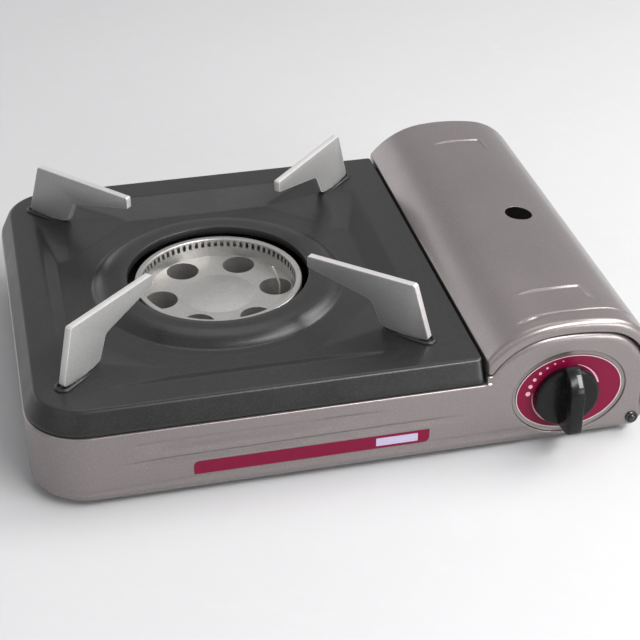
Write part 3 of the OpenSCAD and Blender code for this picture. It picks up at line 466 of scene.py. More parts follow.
def plateColumns():
    # the angles of the sheet's columns, closer together towards the pan supports
    count = plate["columns"]
    t = np.linspace(0, 2 * pi, 4001)
    wide = radians(plate["bunchTurn"])
    weight = 1 + sum(plate["bunch"] * np.exp(-((np.angle(np.exp(1j * (t - radians(d))))) / wide) ** 2)
                     for d in supportTurns.values())
    total = np.concatenate([[0], np.cumsum((weight[1:] + weight[:-1]) / 2)])
    return np.interp(np.arange(count) / count * total[-1], total, t)


def plateRings(field, turn, fine, shell):
    # rings of the sheet's upper side, or of its lower side when shell is the sheet's thickness
    slowRings, nearRings = (plate[k][0 if fine else 1] for k in ("slowRings", "nearRings"))
    reach, hole, border = plate["ringReach"], plate["hole"], plate["border"]
    rows = []
    for inset, high in plateEdge(fine):
        sink = shell * min(max((high - 6) / 5, 0), 1)
        rows.append((plateReach(inset + shell, turn), plate["base"] + high - sink))
    outer = plateReach(plate["bend"] + shell, turn)
    slow = np.linspace(0, 1, slowRings)[1:]
    near = np.linspace(reach, hole + 0.9 + shell, nearRings)[1:]
    for r in [outer + (reach - outer) * s for s in slow] + list(near):
        z = sample(field, *aroundBurner(r, turn))
        ring = border - np.interp(r, ringProfile["radius"], ringProfile["below"])
        rows.append((r, np.where(r < reach, softMax(z, ring, 0.5) - 0.02, z) - shell))
    # the sheet turns down into the hole
    for r, z in ((0.35, 0.62), (0.08, 0.95), (0.0, 1.5)):
        rows.append((hole + r + shell, border - z - shell))
    rows.append((hole + shell, border - plate["holeLow"]))
    return np.array([pointsAt(*aroundBurner(r, turn), z) for r, z in rows])


def makeDripPlate(field):
    skin = newSkin()
    turn = plateColumns()
    top = plateRings(field, turn, True, 0.0)
    under = plateRings(field, turn, False, plate["thick"])
    addGrid(skin, top, (0, 0, 1), closed=True)
    addGrid(skin, under, (0, 0, -1), closed=True)
    for end in (0, -1):
        addGrid(skin, np.stack([top[end], under[end]]), (0, 0, -1), closed=True)
    obj = skinObject(skin, "dripPlate", weld=0.005)
    return dress(obj, [plateCoat], "drip_plate", ["drip_plate"], 50)


def makeSupportRims(field):
    # a raised rim goes round each pan support's outer foot end
    c, w, r = plate["slotTo"], plate["slotWide"], plate["slotSection"]
    side = [(u, w) for u in np.linspace(plate["slotFrom"], c, 15)]
    path = np.array(side + arcPoints(c, 0, w, 90, -90, 16)[1:-1] + [(u, -w) for u, _ in side[::-1]])
    lean = np.gradient(path, axis=0)
    lean /= np.linalg.norm(lean, axis=1, keepdims=True)
    across = np.stack([-lean[:, 1], lean[:, 0]], -1)[:, None, :]
    swell = unit((path[:, 0] - plate["slotFrom"]) / 9)[:, None]
    t = np.linspace(0, 2 * pi, 13)[:-1]
    rise = np.where(np.sin(t) > 0, plate["slotRim"], 0.5) * np.sin(t)
    flat = path[:, None, :] + across * (np.cos(t) * r * swell)[..., None]
    skin = newSkin()
    for angle in supportTurns.values():
        x, y = besideBurner(flat[..., 0], flat[..., 1], angle)
        p = pointsAt(x, y, sample(field, x, y) - 0.05 + rise * swell)
        middle = p.mean(axis=1)
        mid = ((middle[1:] + middle[:-1]) / 2)[:, None, :]
        addGrid(skin, p, lambda q, mid=mid: q - mid, closed=True)
    dress(skinObject(skin, "supportRims"), [plateCoat], "drip_plate", (), 60)


plateField = pressedField()
makeDripPlate(plateField)
makeSupportRims(plateField)
print("drip plate made")


support = {"thick": 4.0, "inner": 62.5, "outer": 130.0, "height": 32.6, "tip": 6.8, "edge": 0.55}


def supportOutline(s):
    # along the support from the burner's axis, and height over the plate's border
    i, o, h = s["inner"], s["outer"], s["height"]
    return [(i, h - 2.6 - s["tip"]), (i, h - 3.0), (i + 0.8, h - 2.4), (o - 2.2, h - 0.1), (o - 0.8, h),
            (o + 0.4, h - 0.8), (o + 0.9, h - 2.2), (o + 9.6, 2.4), (o + 8.6, 1.2), (o + 3, 0.05),
            (o + 1, 0.05), (o + 1, -3.2), (o - 9, -3.2), (o - 9, 0.05), (o - 14, 0.1), (o - 16.5, 0.5),
            (o - 18.8, 1.2), (o - 20.5, 2.2), (o - 26, 13.8), (o - 27.6, 14.9), (o - 30, 15.6)]


def makeSupports():
    for name, angle in supportTurns.items():
        def place(u, v, w):
            return (*besideBurner(u, w - support["thick"] / 2, angle), plate["border"] + v)

        obj = prism("panSupport_" + name, supportOutline(support), support["thick"], place)
        obj.data.materials.append(supportSteel)
        obj.data.materials.append(wornEdge)
        # the two flat sides are sprayed, and the cut edge between them is worn
        for f in obj.data.polygons:
            f.material_index = 0 if len(f.vertices) > 4 else 1
        soften(obj, support["edge"], 2, 50, 1)
        dress(obj, (), "drip_plate", ["pan_support_" + name])


makeSupports()
print("pan supports made")


pin = {"x": 157.5, "z": 10.9, "shaft": 2.5, "head": 3.6, "inside": 5.2, "reach": 2.2}
lid = {"apex": lidHigh.x - 53.0, "crown": 126.0, "shoulder": 36.0, "flank": 48.0, "lean": 5.0,
       "flangeLow": 52.0, "lip": 6.4, "roll": 4.0, "thick": 1.0, "bendRadius": 1.6, "wallLow": 16.0,
       "hole": (129.2, 3.1, 8.1), "groove": 12.2, "grooveDepth": 0.4, "grooveWide": 0.8, "grooveTurn": 126,
       "grooveLean": 0.11, "dent": 0.95, "mark": 0.8, "markHalf": 1.55,
       "marks": (((106.0, 220.3), (136.4, 221.5), (138, 207)),
                 ((100.2, 37.0), (118, 36.4), (135.2, 37.6), (138, 24))),
       "holeGap": (12, 11.5), "earInside": 1.6, "earTop": 29.9, "earBend": 16.0, "earRight": 169.5,
       "earRound": 5, "earThick": 1.2}


def sectionArcs(c):
    # flank, crown and shoulder of the lid's section: centre, radius, and angle where each meets the next
    crownZ = lidHigh.z - c["crown"]
    hubX = lidHigh.x - c["shoulder"]
    turn = asin((hubX - c["apex"]) / (c["crown"] - c["shoulder"]))
    lean = radians(c["lean"])
    rise = c["crown"] - c["flank"]
    return ((c["apex"] - rise * sin(lean), crownZ + rise * cos(lean), c["flank"], 90 + c["lean"]),
            (c["apex"], crownZ, c["crown"], 90 - degrees(turn)),
            (hubX, crownZ + (c["crown"] - c["shoulder"]) * cos(turn), c["shoulder"], 0.0))


def lidSection():
    # the section's outer line, the line of its lips, its outward directions and its length from the seam
    flank, crown, shoulder = sectionArcs(lid)
    fx, fz, fr, _ = flank
    b, lip = lid["bendRadius"], lid["lip"]
    bx = lidLow.x + b
    bz = fz + sqrt((fr - b) ** 2 - (bx - fx) ** 2)
    meet = degrees(atan2(bz - fz, bx - fx))
    outer = [(lidLow.x, z) for z in np.linspace(lid["flangeLow"], bz, 6)[:-1]]
    outer += arcPoints(bx, bz, b, 180, meet, 6)
    foot = 180 - degrees(asin((lid["flangeLow"] - fz) / (fr - lip)))
    inner = arcPoints(fx, fz, fr - lip, foot, meet, len(outer) - 1)
    start = meet
    for (cx, cz, r, end), steps in ((flank, 24), (crown, 48), (shoulder, 60)):
        outer += arcPoints(cx, cz, r, start, end, steps)[1:]
        inner += arcPoints(cx, cz, r - lip, start, end, steps)[1:]
        start = end
    wall = np.linspace(shoulder[1], lid["wallLow"], 11)[1:]
    outer = np.array(outer + [(lidHigh.x, z) for z in wall])
    inner = np.array(inner + [(lidHigh.x - lip, z) for z in wall])
    tangent = np.gradient(outer, axis=0)
    normal = np.stack([tangent[:, 1], -tangent[:, 0]], axis=-1)
    normal /= np.linalg.norm(normal, axis=1, keepdims=True)
    length = np.concatenate([[0], np.cumsum(np.hypot(*np.diff(outer, axis=0).T))])
    return outer, inner, normal, length


def lidMarks(x, z, e):
    # how far the sheet is pressed in (or out, below nought) at a place along the crown and behind the front
    groove = lid["groove"] + np.clip(x - lid["grooveTurn"], 0, None) * lid["grooveLean"]
    wide = lid["grooveWide"]
    fade = unit((x - 96) / 5) * unit((z - 64) / 7)
    h = lid["grooveDepth"] * np.exp(-((e - groove) / wide) ** 2) * fade
    # the short dent at the groove's inner end
    beside = np.maximum(abs(e - groove + 0.9) - 0.5, 0)
    h += lid["dent"] * np.exp(-(beside / wide) ** 2) * np.exp(-((x - 98.5) / 5.2) ** 4)
    for legs in lid["marks"]:
        far = np.min([segmentDistance(x, e, a, b) for a, b in zip(legs, legs[1:])], axis=0)
        taper = np.clip((x - legs[0][0] + 2) / 9, 0.15, 1) * np.clip((e - legs[-1][1] + 1) / 5, 0.3, 1)
        h -= lid["mark"] * taper * unit(1 - (far / lid["markHalf"]) ** 2) ** 1.2
    return np.where(z > lid["flangeLow"], h, 0)


def makeLid():
    outer, inner, normal, s = lidSection()
    deep = back - front
    r = lid["roll"]
    turn = np.radians(np.linspace(0, 90, 10))
    path = [(d, 0.0) for d in np.linspace(lid["lip"], r + 0.5, 4)]
    path += [(r * (1 - sin(a)), r * (1 - cos(a))) for a in turn]
    # from, to and steps behind the front, closer together where the marks are
    spans = ((r, 9, 8), (9, 17, 26), (17, 42, 56), (42, 108, 20), (108, 136, 26), (136, 202, 18),
             (202, 226, 56), (226, deep - r, 12))
    middle = [(0.0, e) for a, b, n in spans for e in np.linspace(a, b, n + 1)[1:]]
    rows = np.array(path + middle[:-1] + [(d, deep - e) for d, e in path[::-1]])

    def surface(at, d, e):
        # a point of the lid: at is the length along the section, d how far down the lip, e behind the front
        px = np.stack([np.interp(at, s, outer[:, k]) for k in (0, 1)], axis=-1)
        qx = np.stack([np.interp(at, s, inner[:, k]) for k in (0, 1)], axis=-1)
        nx = np.stack([np.interp(at, s, normal[:, k]) for k in (0, 1)], axis=-1)
        h = lidMarks(px[..., 0], px[..., 1], e) * (d == 0)
        xz = px + (qx - px) * (d / lid["lip"])[..., None] + nx * h[..., None]
        return pointsAt(xz[..., 0], front + e, xz[..., 1])

    at, d = np.meshgrid(s, rows[:, 0])
    rowE = rows[:, 1]
    p = surface(at, d, np.meshgrid(s, rowE)[1])
    # round the inspection hole the grid is left out, and rings lead from the gap's edge to the hole's
    hx, hy, hr = lid["hole"]
    centreAt = float(np.interp(hx, outer[:100, 0], s[:100]))
    centreE = hy - front
    gapAt, gapE = lid["holeGap"]
    i0, i1 = np.searchsorted(s, centreAt - gapAt), np.searchsorted(s, centreAt + gapAt)
    j0, j1 = np.searchsorted(rowE, centreE - gapE), np.searchsorted(rowE, centreE + gapE)
    keep = np.ones((len(rows) - 1, len(s) - 1), bool)
    keep[j0:j1, i0:i1] = False
    skin = newSkin()
    addGrid(skin, p, lambda c: c - np.array([120, 8, 20.0]), keep=keep)
    loop = ([(s[i], rowE[j0]) for i in range(i0, i1)] + [(s[i1], rowE[j]) for j in range(j0, j1)]
            + [(s[i], rowE[j1]) for i in range(i1, i0, -1)] + [(s[i0], rowE[j]) for j in range(j1, j0, -1)])
    loop = np.array(loop)
    away = loop - (centreAt, centreE)
    circle = (centreAt, centreE) + away / np.linalg.norm(away, axis=1, keepdims=True) * hr
    rings = [loop + (circle - loop) * w for w in (0, 0.25, 0.5, 0.7, 0.85, 0.94, 1.0)]
    q = np.array([surface(g[:, 0], np.zeros(len(g)), g[:, 1]) for g in rings])
    q[-1, :, 2] -= 0.15
    addGrid(skin, q, (0, 0, 1), closed=True)
    obj = skinObject(skin, "lid", weld=0.01)
    thicken(obj, lid["thick"])
    ax, az, r, right = pin["x"], pin["z"], lid["earRound"], lid["earRight"]
    shape = [(ax, az + r), (right, lid["earTop"]), (right, lid["earBend"])]
    shape += arcPoints(ax, az, r, -45, -270, 16)[:-1]
    for y0 in (front + lid["earInside"], back - lid["earInside"] - lid["earThick"]):
        ear = prism("ear", shape[::-1], lid["earThick"], lambda u, v, w, y0=y0: (u, y0 + w, v))
        soften(ear, 0.2, 1)
        joinInto(obj, ear)
    dress(obj, [paint], "lid", ["lid"], 38)


makeLid()
print("lid made")


case = {"seam": lidLow.x, "right": caseHigh.x, "rim": plateLow.z, "step": 50.5,
        "inside": lidHigh.x - caseHigh.x, "edge": 6.0, "corner": 33.0, "bottom": caseLow.z, "flange": 7.0,
        "thick": 1.0, "roll": 1.2, "bead": 13.8, "beadDepth": 0.34, "beadWide": 0.45, "seamPress": 1.2,
        "oval": (119.4, 33.6, 32.3, 26.1), "ovalDepth": 1.2, "spindleHole": 4.6,
        "backFrame": (121.0, 27.0, 31.0, 15.0),
        "grille": [(90, 12), (152, 12), (152, 42), (90, 42)], "grilleSlot": (97, 10, 27, 9, 2),
        "floorSlot": (22, 68, 9, 3)}
# each rib of the front: height, left end, right end, climb, depth, and how far it fades out below
case["ribs"] = ((37.0, -117.5, 24, 0.0, 1.9, 8.0), (25.8, -123.5, 64, 1.6, 1.25, 3.8))
# heights of the wall's rows, closer together at the ribs and the bead
wallRows = np.concatenate([np.linspace(9, 12.6, 5), np.linspace(13.0, 14.8, 8), np.linspace(15.4, 21.5, 8),
                           np.linspace(22.0, 28.5, 20), np.linspace(29.2, 33.4, 7), np.linspace(33.8, 38.4, 15),
                           np.linspace(39.2, 44.2, 8)])


def frontPress(x, z):
    # how far the case's front is pressed in
    h = np.zeros(np.broadcast(x, z).shape)
    for zc, x0, x1, climb, deep, tail in case["ribs"]:
        ends = unit((x - x0) / 16) * unit((x1 - x) / 46)
        wide = 0.4 + 0.6 * unit((x - x0) / 22)
        over = z - zc - climb * (x - x0) / (x1 - x0)
        wall = unit(np.where(over > 0, 1 - over / (1.7 * wide), 1 + over / tail))
        h += deep * ends * wall * wall * (3 - 2 * wall)
    line = case["bead"] - 3.0 * unit((-62 - x) / 84) * unit((x + 170) / 30) - 0.4
    ends = unit((x + 148) / 8) * unit((100 - x) / 10)
    low = 0.5 - 0.5 * np.tanh((z - line) / case["beadWide"])
    h += ends * (case["beadDepth"] * low * unit((z - 8.5) / 2.5) + 0.16 * np.exp(-((z - line) / 0.5) ** 2))
    # beside the seam the front above the rim's height stands back a little, and comes out again to the right
    right = unit((x - case["seam"] + 0.5) * 2)
    h += case["seamPress"] * unit((80 - x) / 7) * right * unit((z - 45.2) / 0.7)
    return h


def fillet(z):
    # how far the rounded lower edge stands back at a height
    e = case["edge"]
    return e - np.sqrt(e ** 2 - np.clip(case["bottom"] + e - z, 0, e) ** 2)


def panelStations():
    # round the panel's outline: x, z, outward x, outward z, edge radius, first depth of the edge, kind
    c = case
    e, roll = c["edge"], c["roll"]
    flank, crown, shoulder = sectionArcs(lid)
    hz = shoulder[1]
    out = []
    for x in np.linspace(c["seam"], c["right"] - e, 44):
        out.append((x, c["bottom"], 0, -1, e, 0.37, "floor"))
    for a in np.linspace(-90, 0, 12)[1:]:
        t = radians(a)
        k = -a / 90
        out.append((c["right"] - e + e * cos(t), c["bottom"] + e + e * sin(t), cos(t), sin(t),
                    3 + 3 * k, 0.37 * k, "wall"))
    for z in np.linspace(c["bottom"] + e, hz, 22)[1:]:
        out.append((c["right"], z, 1, 0, 3.0, 0, "wall"))
    foot = 180 - degrees(asin((c["step"] - flank[1]) / (flank[2] - c["inside"])))
    for (cx, cz, r, _), a0, a1, steps in ((shoulder, 0, crown[3], 36), (crown, crown[3], flank[3], 26),
                                          (flank, flank[3], foot, 30)):
        for x, z in arcPoints(cx, cz, r - c["inside"], a0, a1, steps)[1:]:
            d = r - c["inside"]
            wide = 3 + 1.6 * min(max((z - hz) / 18, 0), 1) if x > cx and cx == shoulder[0] else 4.6
            wide = min(wide, 1.3 + 3.3 * min(max((x - c["seam"] - 3) / 14, 0), 1))
            out.append((x, z, (x - cx) / d, (z - cz) / d, wide, 0, "arch"))
    for x in np.linspace(out[-1][0], c["seam"] + roll, 4)[1:]:
        out.append((x, c["step"], 0, 1, 1.0, 0, "arch"))
    for x, z in arcPoints(c["seam"] + roll, c["step"] - roll, roll, 90, 180, 5)[1:]:
        out.append((x, z, (x - c["seam"] - roll) / roll, (z - c["step"] + roll) / roll, 1.0, 0, "arch"))
    for z in (48.3, 47.3, 46.3, 45.8, c["rim"]):
        out.append((c["seam"], z, -1, 0, 0.8, 0, "arch"))
    # below the rim the stations meet the rows of the front wall
    for z in [c["rim"]] + list(wallRows[::-1]) + [c["bottom"] + e * (1 - cos(radians(540 / 7)))]:
        out.append((c["seam"], z, -1, 0, 0.0, 0, "seam"))
    return out + [out[0]]


# how far behind its face the rows of the panel's edge lie
depthRows = [0, 0.1, 0.37, 0.75, 1.3, 2.0, 2.8, 3.7, 4.6, 6.0, 9.0, 12.0]


def makePanel(skin, atFront):
    stations = panelStations()
    sx, sz, nx, nz, rr, e0 = (np.array([s[k] for s in stations], float) for k in range(6))
    kind = np.array([s[6] for s in stations])
    face, way = (front, 1) if atFront else (back, -1)

    def drop(e):
        depth = np.maximum(e, e0)
        return np.where(depth < rr, rr - np.sqrt(np.clip(rr ** 2 - (rr - depth) ** 2, 0, None)), 0.0)

    edgeX, edgeZ = sx - nx * drop(0.0), sz - nz * drop(0.0)
    cx, cz, a, b = case["oval" if atFront else "backFrame"]
    turn = np.arctan2(edgeZ - cz, edgeX - cx)

    def near(grow):
        # from the middle out to the front's oval, or to the back's frame, made larger by this much
        u, v = a + grow, b + grow
        if atFront:
            return u * v / np.hypot(v * np.cos(turn), u * np.sin(turn))
        return 1 / np.maximum(abs(np.cos(turn)) / u, abs(np.sin(turn)) / v)

    rows = []
    if atFront:
        hole = case["spindleHole"]
        for w in (0.0, 0.35, 0.7, 1.0):
            r = hole + (near(-0.5) - hole) * w
            rows.append((cx + r * np.cos(turn), cz + r * np.sin(turn), case["ovalDepth"]))
        # the spindle's hole is on the knob's axis, so the inner rows move over to it
        for k, w in enumerate((1.0, 0.5, 0.15)):
            x, z, y = rows[k]
            rows[k] = (x + (knobAxis[0] - cx) * w, z + (knobAxis[1] - cz) * w, y)
        for grow, depth in ((-0.25, 1.12), (-0.05, 0.85), (0.0, 0.45), (0.12, 0.2), (0.35, 0.06)):
            r = near(grow)
            z = cz + r * np.sin(turn)
            rows.append((cx + r * np.cos(turn), z, depth + fillet(z)))
    first = near(0.6)
    fx, fz = cx + first * np.cos(turn), cz + first * np.sin(turn)
    for w in np.linspace(0, 1, 30):
        x, z = fx + (edgeX - fx) * w, fz + (edgeZ - fz) * w
        y = fillet(z) * unit((case["right"] - x) / case["edge"])
        if w == 1.0:
            y = np.maximum(y, e0)
        if atFront:
            y = y + frontPress(x, z)
        rows.append((x, z, y))
    for e in depthRows[1:]:
        d = drop(e)
        x, z = sx - nx * d, sz - nz * d
        rows.append((x, z, np.maximum(e, e0)))
    p = np.array([pointsAt(x, face + way * y, z) for x, z, y in rows])
    # the edge is left out at the seam, deep under the floor, and in a slot that the lid's ear turns in
    start = len(rows) - len(depthRows)
    keep = np.ones((len(rows) - 1, len(stations) - 1), bool)
    slot = (sz[:-1] < 32.4) & (sx[:-1] > 152)
    for r, (e, after) in enumerate(zip(depthRows, depthRows[1:]), start):
        keep[r, kind[:-1] == "seam"] = False
        if after > case["edge"]:
            keep[r, kind[:-1] == "floor"] = False
        if e >= 1.3 and after <= 3.7:
            keep[r, slot] = False
    addGrid(skin, p, (0, -way, 0), keep=keep)


def makeCase():
    c = case
    skin = newSkin()
    makePanel(skin, True)
    makePanel(skin, False)
    # the three walls round the burner, from the seam at the front to the seam at the back
    x0, r, e, roll = caseLow.x, c["corner"], c["edge"], c["roll"]

    def cornerLine(cy, a0, a1, steps):
        return [(x, y, (x - x0 - r) / r, (y - cy) / r) for x, y in arcPoints(x0 + r, cy, r, a0, a1, steps)[1:]]

    spans = np.linspace(c["seam"], 40, 24), np.linspace(38.6, -98, 90), np.linspace(-99.4, x0 + r, 28)
    line = [(x, front, 0, -1) for x in np.concatenate(spans)]
    line += cornerLine(front + r, 270, 180, 30)
    line += [(x0, y, -1, 0) for y in np.linspace(front + r, back - r, 26)[1:]]
    line += cornerLine(back - r, 180, 90, 24)
    line += [(x, back, 0, 1) for x in np.linspace(x0 + r, c["seam"], 40)[1:]]
    lineX, lineY, outX, outY = np.array(line).T
    turn = np.radians(np.linspace(0, 90, 8))[:-1]
    rows = [(e * (1 - sin(a)), c["bottom"] + e * (1 - cos(a))) for a in turn]
    rows += [(0.0, z) for z in wallRows]
    rows += [(roll * (1 - cos(a)), c["rim"] - roll * (1 - sin(a))) for a in np.radians((30, 60, 90))]
    rows += [(3.0, c["rim"]), (c["flange"], c["rim"])]
    # the ribs and the bead run on round the left corner as far as it faces the front
    along = np.where(lineX < -137, -137 - (lineY - front), lineX)
    p = []
    for inset, z in rows:
        h = inset + (frontPress(along, z) * unit(-outY) if inset == 0 else 0)
        p.append(pointsAt(lineX - outX * h, lineY - outY * h, z))
    addGrid(skin, np.array(p), lambda q: q - np.array([-40, 8, 20.0]))
    # the right wall, inside the lid's wall
    wall = arcPoints(c["right"] - e, c["bottom"] + e, e, -90, 0, 9)
    hx, hz, hr, _ = sectionArcs(lid)[2]
    wall += [(c["right"], z) for z in np.linspace(9, hz, 12)[1:]]
    wall += arcPoints(hx, hz, hr - c["inside"], 0, 11.5, 4)[1:]
    ys = np.linspace(front + 12, back - 12, 30)
    p = np.array([[(x, y, z) for x, z in wall] for y in ys])
    addGrid(skin, p, (1, 0, 0))
    obj = skinObject(skin, "caseBody", weld=0.03)
    thicken(obj, c["thick"])
    outline = [(c["right"] - e, front + e), (c["right"] - e, back - e)]
    for y, a in ((back - r, 90), (front + r, 180)):
        outline += arcPoints(x0 + r, y, r - e, a, a + 90, 16)
    loops = [outline]
    stepX, stepY, half, bend = c["floorSlot"]
    for i in (-2, -1, 1, 2):
        for s in (-1, 1):
            loops.append(longHole(burner[0] + i * stepX, burner[1] + s * stepY, half, bend, 8))
    base = flatPlate("base", loops, c["thick"], lambda u, v, w: (u, v, c["bottom"] + w))
    x, step, z, half, bend = c["grilleSlot"]
    slots = [longHole(x + i * step, z, half, bend, 6) for i in range(6)]
    grille = flatPlate("grille", [c["grille"]] + slots, c["thick"], lambda u, v, w: (u, back - w, v))
    joinInto(obj, base, grille)
    dress(obj, [paint], "base", ["case"], 36)


makeCase()
print("case made")


knob = {"radius": 18.0, "disc": 4.6, "reach": 18.0, "grip": 9.0, "edge": 1.3, "taper": 0.16,
        "pointerThick": 0.16}


def makeKnob():
    ax, az = knobAxis
    r, d = knob["radius"], knob["disc"]
    profile = [(0.0, d), (r - 4.5, d), (r - 3.2, d - 0.15), (r - 2.4, d - 0.1), (r - 1.5, d - 0.15),
               (r - 0.7, d - 0.55), (r - 0.2, d - 1.1), (r, d - 1.9), (r, 0.9), (r - 0.3, 0.5),
               (r - 0.3, -0.35), (0.0, -0.35)]
    disc = lathe("knobDisc", profile, 120, lambda x, y, h: (ax + x, front - h, az + y))
    w = knob["grip"] / 2
    # the bar's side: behind the case's front, and up from the axis
    side = [(-d + 1, r + 3.0), (-d - 1.2, r + 3.4), (-8.2, r + 2.6), (-11.6, r + 0.4), (-14.8, r - 2.6),
            (-16.9, r - 5.6), (-knob["reach"], r - 8.6), (-knob["reach"], -r + 5.4), (-17.4, -r + 3.6),
            (-15.6, -r + 2.0), (-d, -r + 0.5), (-d + 1, -r + 0.5)]
    bar = prism("knobBar", side, knob["grip"], lambda u, v, t: (ax - w + t, front + u, az + v))
    soften(bar, knob["edge"], 4, 30)
    # the bar narrows a little towards its face
    for v in bar.data.vertices:
        out = (front - v.co.y / mm) / knob["reach"]
        v.co.x = (ax + (v.co.x / mm - ax) * (1.0 - knob["taper"] * out)) * mm
    obj = joinInto(disc, bar)
    obj.name = "knobCap"
    dress(obj, [knobPlastic], "knob", ["knob"], 38)
    # the pale pointer lies on the grip bar's sloping top
    path = np.array([(10.4, 19.18), (11.6, 18.4), (13.2, 16.9), (14.8, 15.4), (15.6, 14.26)])
    across = np.linspace(0.7, 3.0, 4)
    p = np.array([[(ax + u, front - out - 0.08, az + up + 0.1) for u in across] for out, up in path])
    skin = newSkin()
    addGrid(skin, p, (0, -1, 1))
    line = skinObject(skin, "knobPointer")
    thicken(line, knob["pointerThick"])
    dress(line, [pointerPaint], "knob")


makeKnob()
print("knob made")


dial = {"dots": 7, "radius": 21.6, "from": 97.5, "to": 172.3, "small": 0.45, "large": 1.4, "thick": 0.08,
        "ring": 0.5, "arcRadius": 18.9}


def calculate(tree, operation, a, b):
    n = tree.nodes.new("ShaderNodeMath")
    n.operation = operation
    for socket, value in zip(n.inputs, (a, b)):
        if isinstance(value, (int, float)):
            socket.default_value = value
        else:
            tree.links.new(value, socket)
    return n.outputs[0]


def scatter(name, inputs, mat, build):
    # geometry nodes set one piece at many points: build gives the points and the piece, and may turn and
    # scale it by the inputs of put
    tree = bpy.data.node_groups.new(name, "GeometryNodeTree")
    tree.interface.new_socket(name="Geometry", in_out="OUTPUT", socket_type="NodeSocketGeometry")
    obj = newObject(name, bpy.data.meshes.new(name))
    mod = obj.modifiers.new(name, "NODES")
    sockets = {}
    for label, value in inputs.items():
        kind = "NodeSocketInt" if isinstance(value, int) else "NodeSocketFloat"
        sockets[label] = tree.interface.new_socket(name=label, in_out="INPUT", socket_type=kind)
        sockets[label].default_value = value
    link = tree.links.new
    put = tree.nodes.new("GeometryNodeInstanceOnPoints")
    points, piece = build(tree, tree.nodes.new("NodeGroupInput").outputs, put)
    link(points, put.inputs["Points"])
    link(piece, put.inputs["Instance"])
    real = tree.nodes.new("GeometryNodeRealizeInstances")
    link(put.outputs[0], real.inputs[0])
    coat = node(tree, "GeometryNodeSetMaterial", Material=mat)
    link(real.outputs[0], coat.inputs["Geometry"])
    link(coat.outputs[0], tree.nodes.new("NodeGroupOutput").inputs[0])
    mod.node_group = tree
    for label, value in inputs.items():
        mod[sockets[label].identifier] = value
    bake(obj)
    return obj


def dotNodes(tree, given, put):
    # the dots lie on an arc and grow along it
    link = tree.links.new
    calc = lambda *terms: calculate(tree, *terms)
    dots = tree.nodes.new("GeometryNodePoints")
    link(given["Count"], dots.inputs["Count"])
    number = tree.nodes.new("GeometryNodeInputIndex").outputs[0]
    share = calc("DIVIDE", number, calc("SUBTRACT", given["Count"], 1.0))
    turned = calc("MULTIPLY", share, calc("SUBTRACT", given["To"], given["From"]))
    angle = calc("ADD", given["From"], turned)
    place = tree.nodes.new("ShaderNodeCombineXYZ")
    link(calc("MULTIPLY", calc("COSINE", angle, 0.0), given["Arc Radius"]), place.inputs["X"])
    link(calc("MULTIPLY", calc("SINE", angle, 0.0), given["Arc Radius"]), place.inputs["Z"])
    move = tree.nodes.new("GeometryNodeSetPosition")
    link(dots.outputs[0], move.inputs["Geometry"])
    link(place.outputs[0], move.inputs["Position"])
    disc = node(tree, "GeometryNodeMeshCylinder", Vertices=20, Radius=1.0, Depth=dial["thick"] * mm)
    larger = calc("MULTIPLY", calc("POWER", share, 1.2), calc("SUBTRACT", given["Largest"], given["Smallest"]))
    scale = node(tree, "ShaderNodeCombineXYZ", Z=1.0)
    for axis in "XY":
        link(calc("ADD", given["Smallest"], larger), scale.inputs[axis])
    put.inputs["Rotation"].default_value = (radians(90), 0, 0)
    link(scale.outputs[0], put.inputs["Scale"])
    return move.outputs[0], disc.outputs["Mesh"]


def makeDots():
    inputs = {"Count": dial["dots"], "Arc Radius": dial["radius"] * mm, "From": radians(dial["from"]),
              "To": radians(dial["to"]), "Smallest": dial["small"] * mm, "Largest": dial["large"] * mm}
    obj = scatter("dialDots", inputs, palePrint, dotNodes)
    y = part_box("dial_plate")[0].y - dial["thick"] / 2 * mm
    obj.data.transform(Matrix.Translation((knobAxis[0] * mm, y, knobAxis[1] * mm)))
    dress(obj, [palePrint], "base")


def arcStrip(name, a0, a1, wide):
    # an arc that widens from its first end
    (x, z), y = knobAxis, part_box("dial_plate")[0].y / mm - dial["thick"]
    t = np.radians(np.linspace(a0, a1, 40))
    half = wide / 2 * (np.sin(np.linspace(0.12, 1, 40) * pi * 0.5))
    outer, inner = ([(x + r * cos(a), z + r * sin(a)) for a, r in zip(t, dial["arcRadius"] + way * half)]
                    for way in (1, -1))
    strip = prism(name, outer + inner[::-1], dial["thick"], lambda u, v, k: (u, y + k, v))
    dress(strip, [palePrint], "base")


def makeBorder():
    # the thin bright ring that edges the printed oval
    low, high = (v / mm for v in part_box("dial_plate"))
    a, b, g = (high.x - low.x) / 2, (high.z - low.z) / 2, dial["ring"]
    cx, cz = (low.x + high.x) / 2, (low.z + high.z) / 2
    t = np.linspace(0, 2 * pi, 145)[:-1]
    rows = [(a + w, b + w, k) for w, k in ((-g, 0.0), (-g, -0.06), (0.0, -0.06), (0.0, 0.0))]
    p = np.array([pointsAt(cx + u * np.cos(t), low.y + k, cz + v * np.sin(t)) for u, v, k in rows])
    skin = newSkin()
    for i, way in ((0, -1), (2, 1)):
        addGrid(skin, p[i:i + 2], lambda c, way=way: way * (c - (cx, low.y, cz)) * (1, 0, 1), closed=True)
    addGrid(skin, p[1:3], (0, -1, 0), closed=True)
    addGrid(skin, p[[0, 3]], (0, 1, 0), closed=True)
    dress(skinObject(skin, "dialBorder"), [silverPrint], "base")


makeDots()
makeBorder()
arcStrip("dialArcRight", 72, 14, 1.0)
arcStrip("dialArcLeft", 172, 240, 0.9)


label = {"right": 6.5, "left": 29.5, "low": 1.6, "high": 1.4, "corner": 0.3, "thick": 0.1}


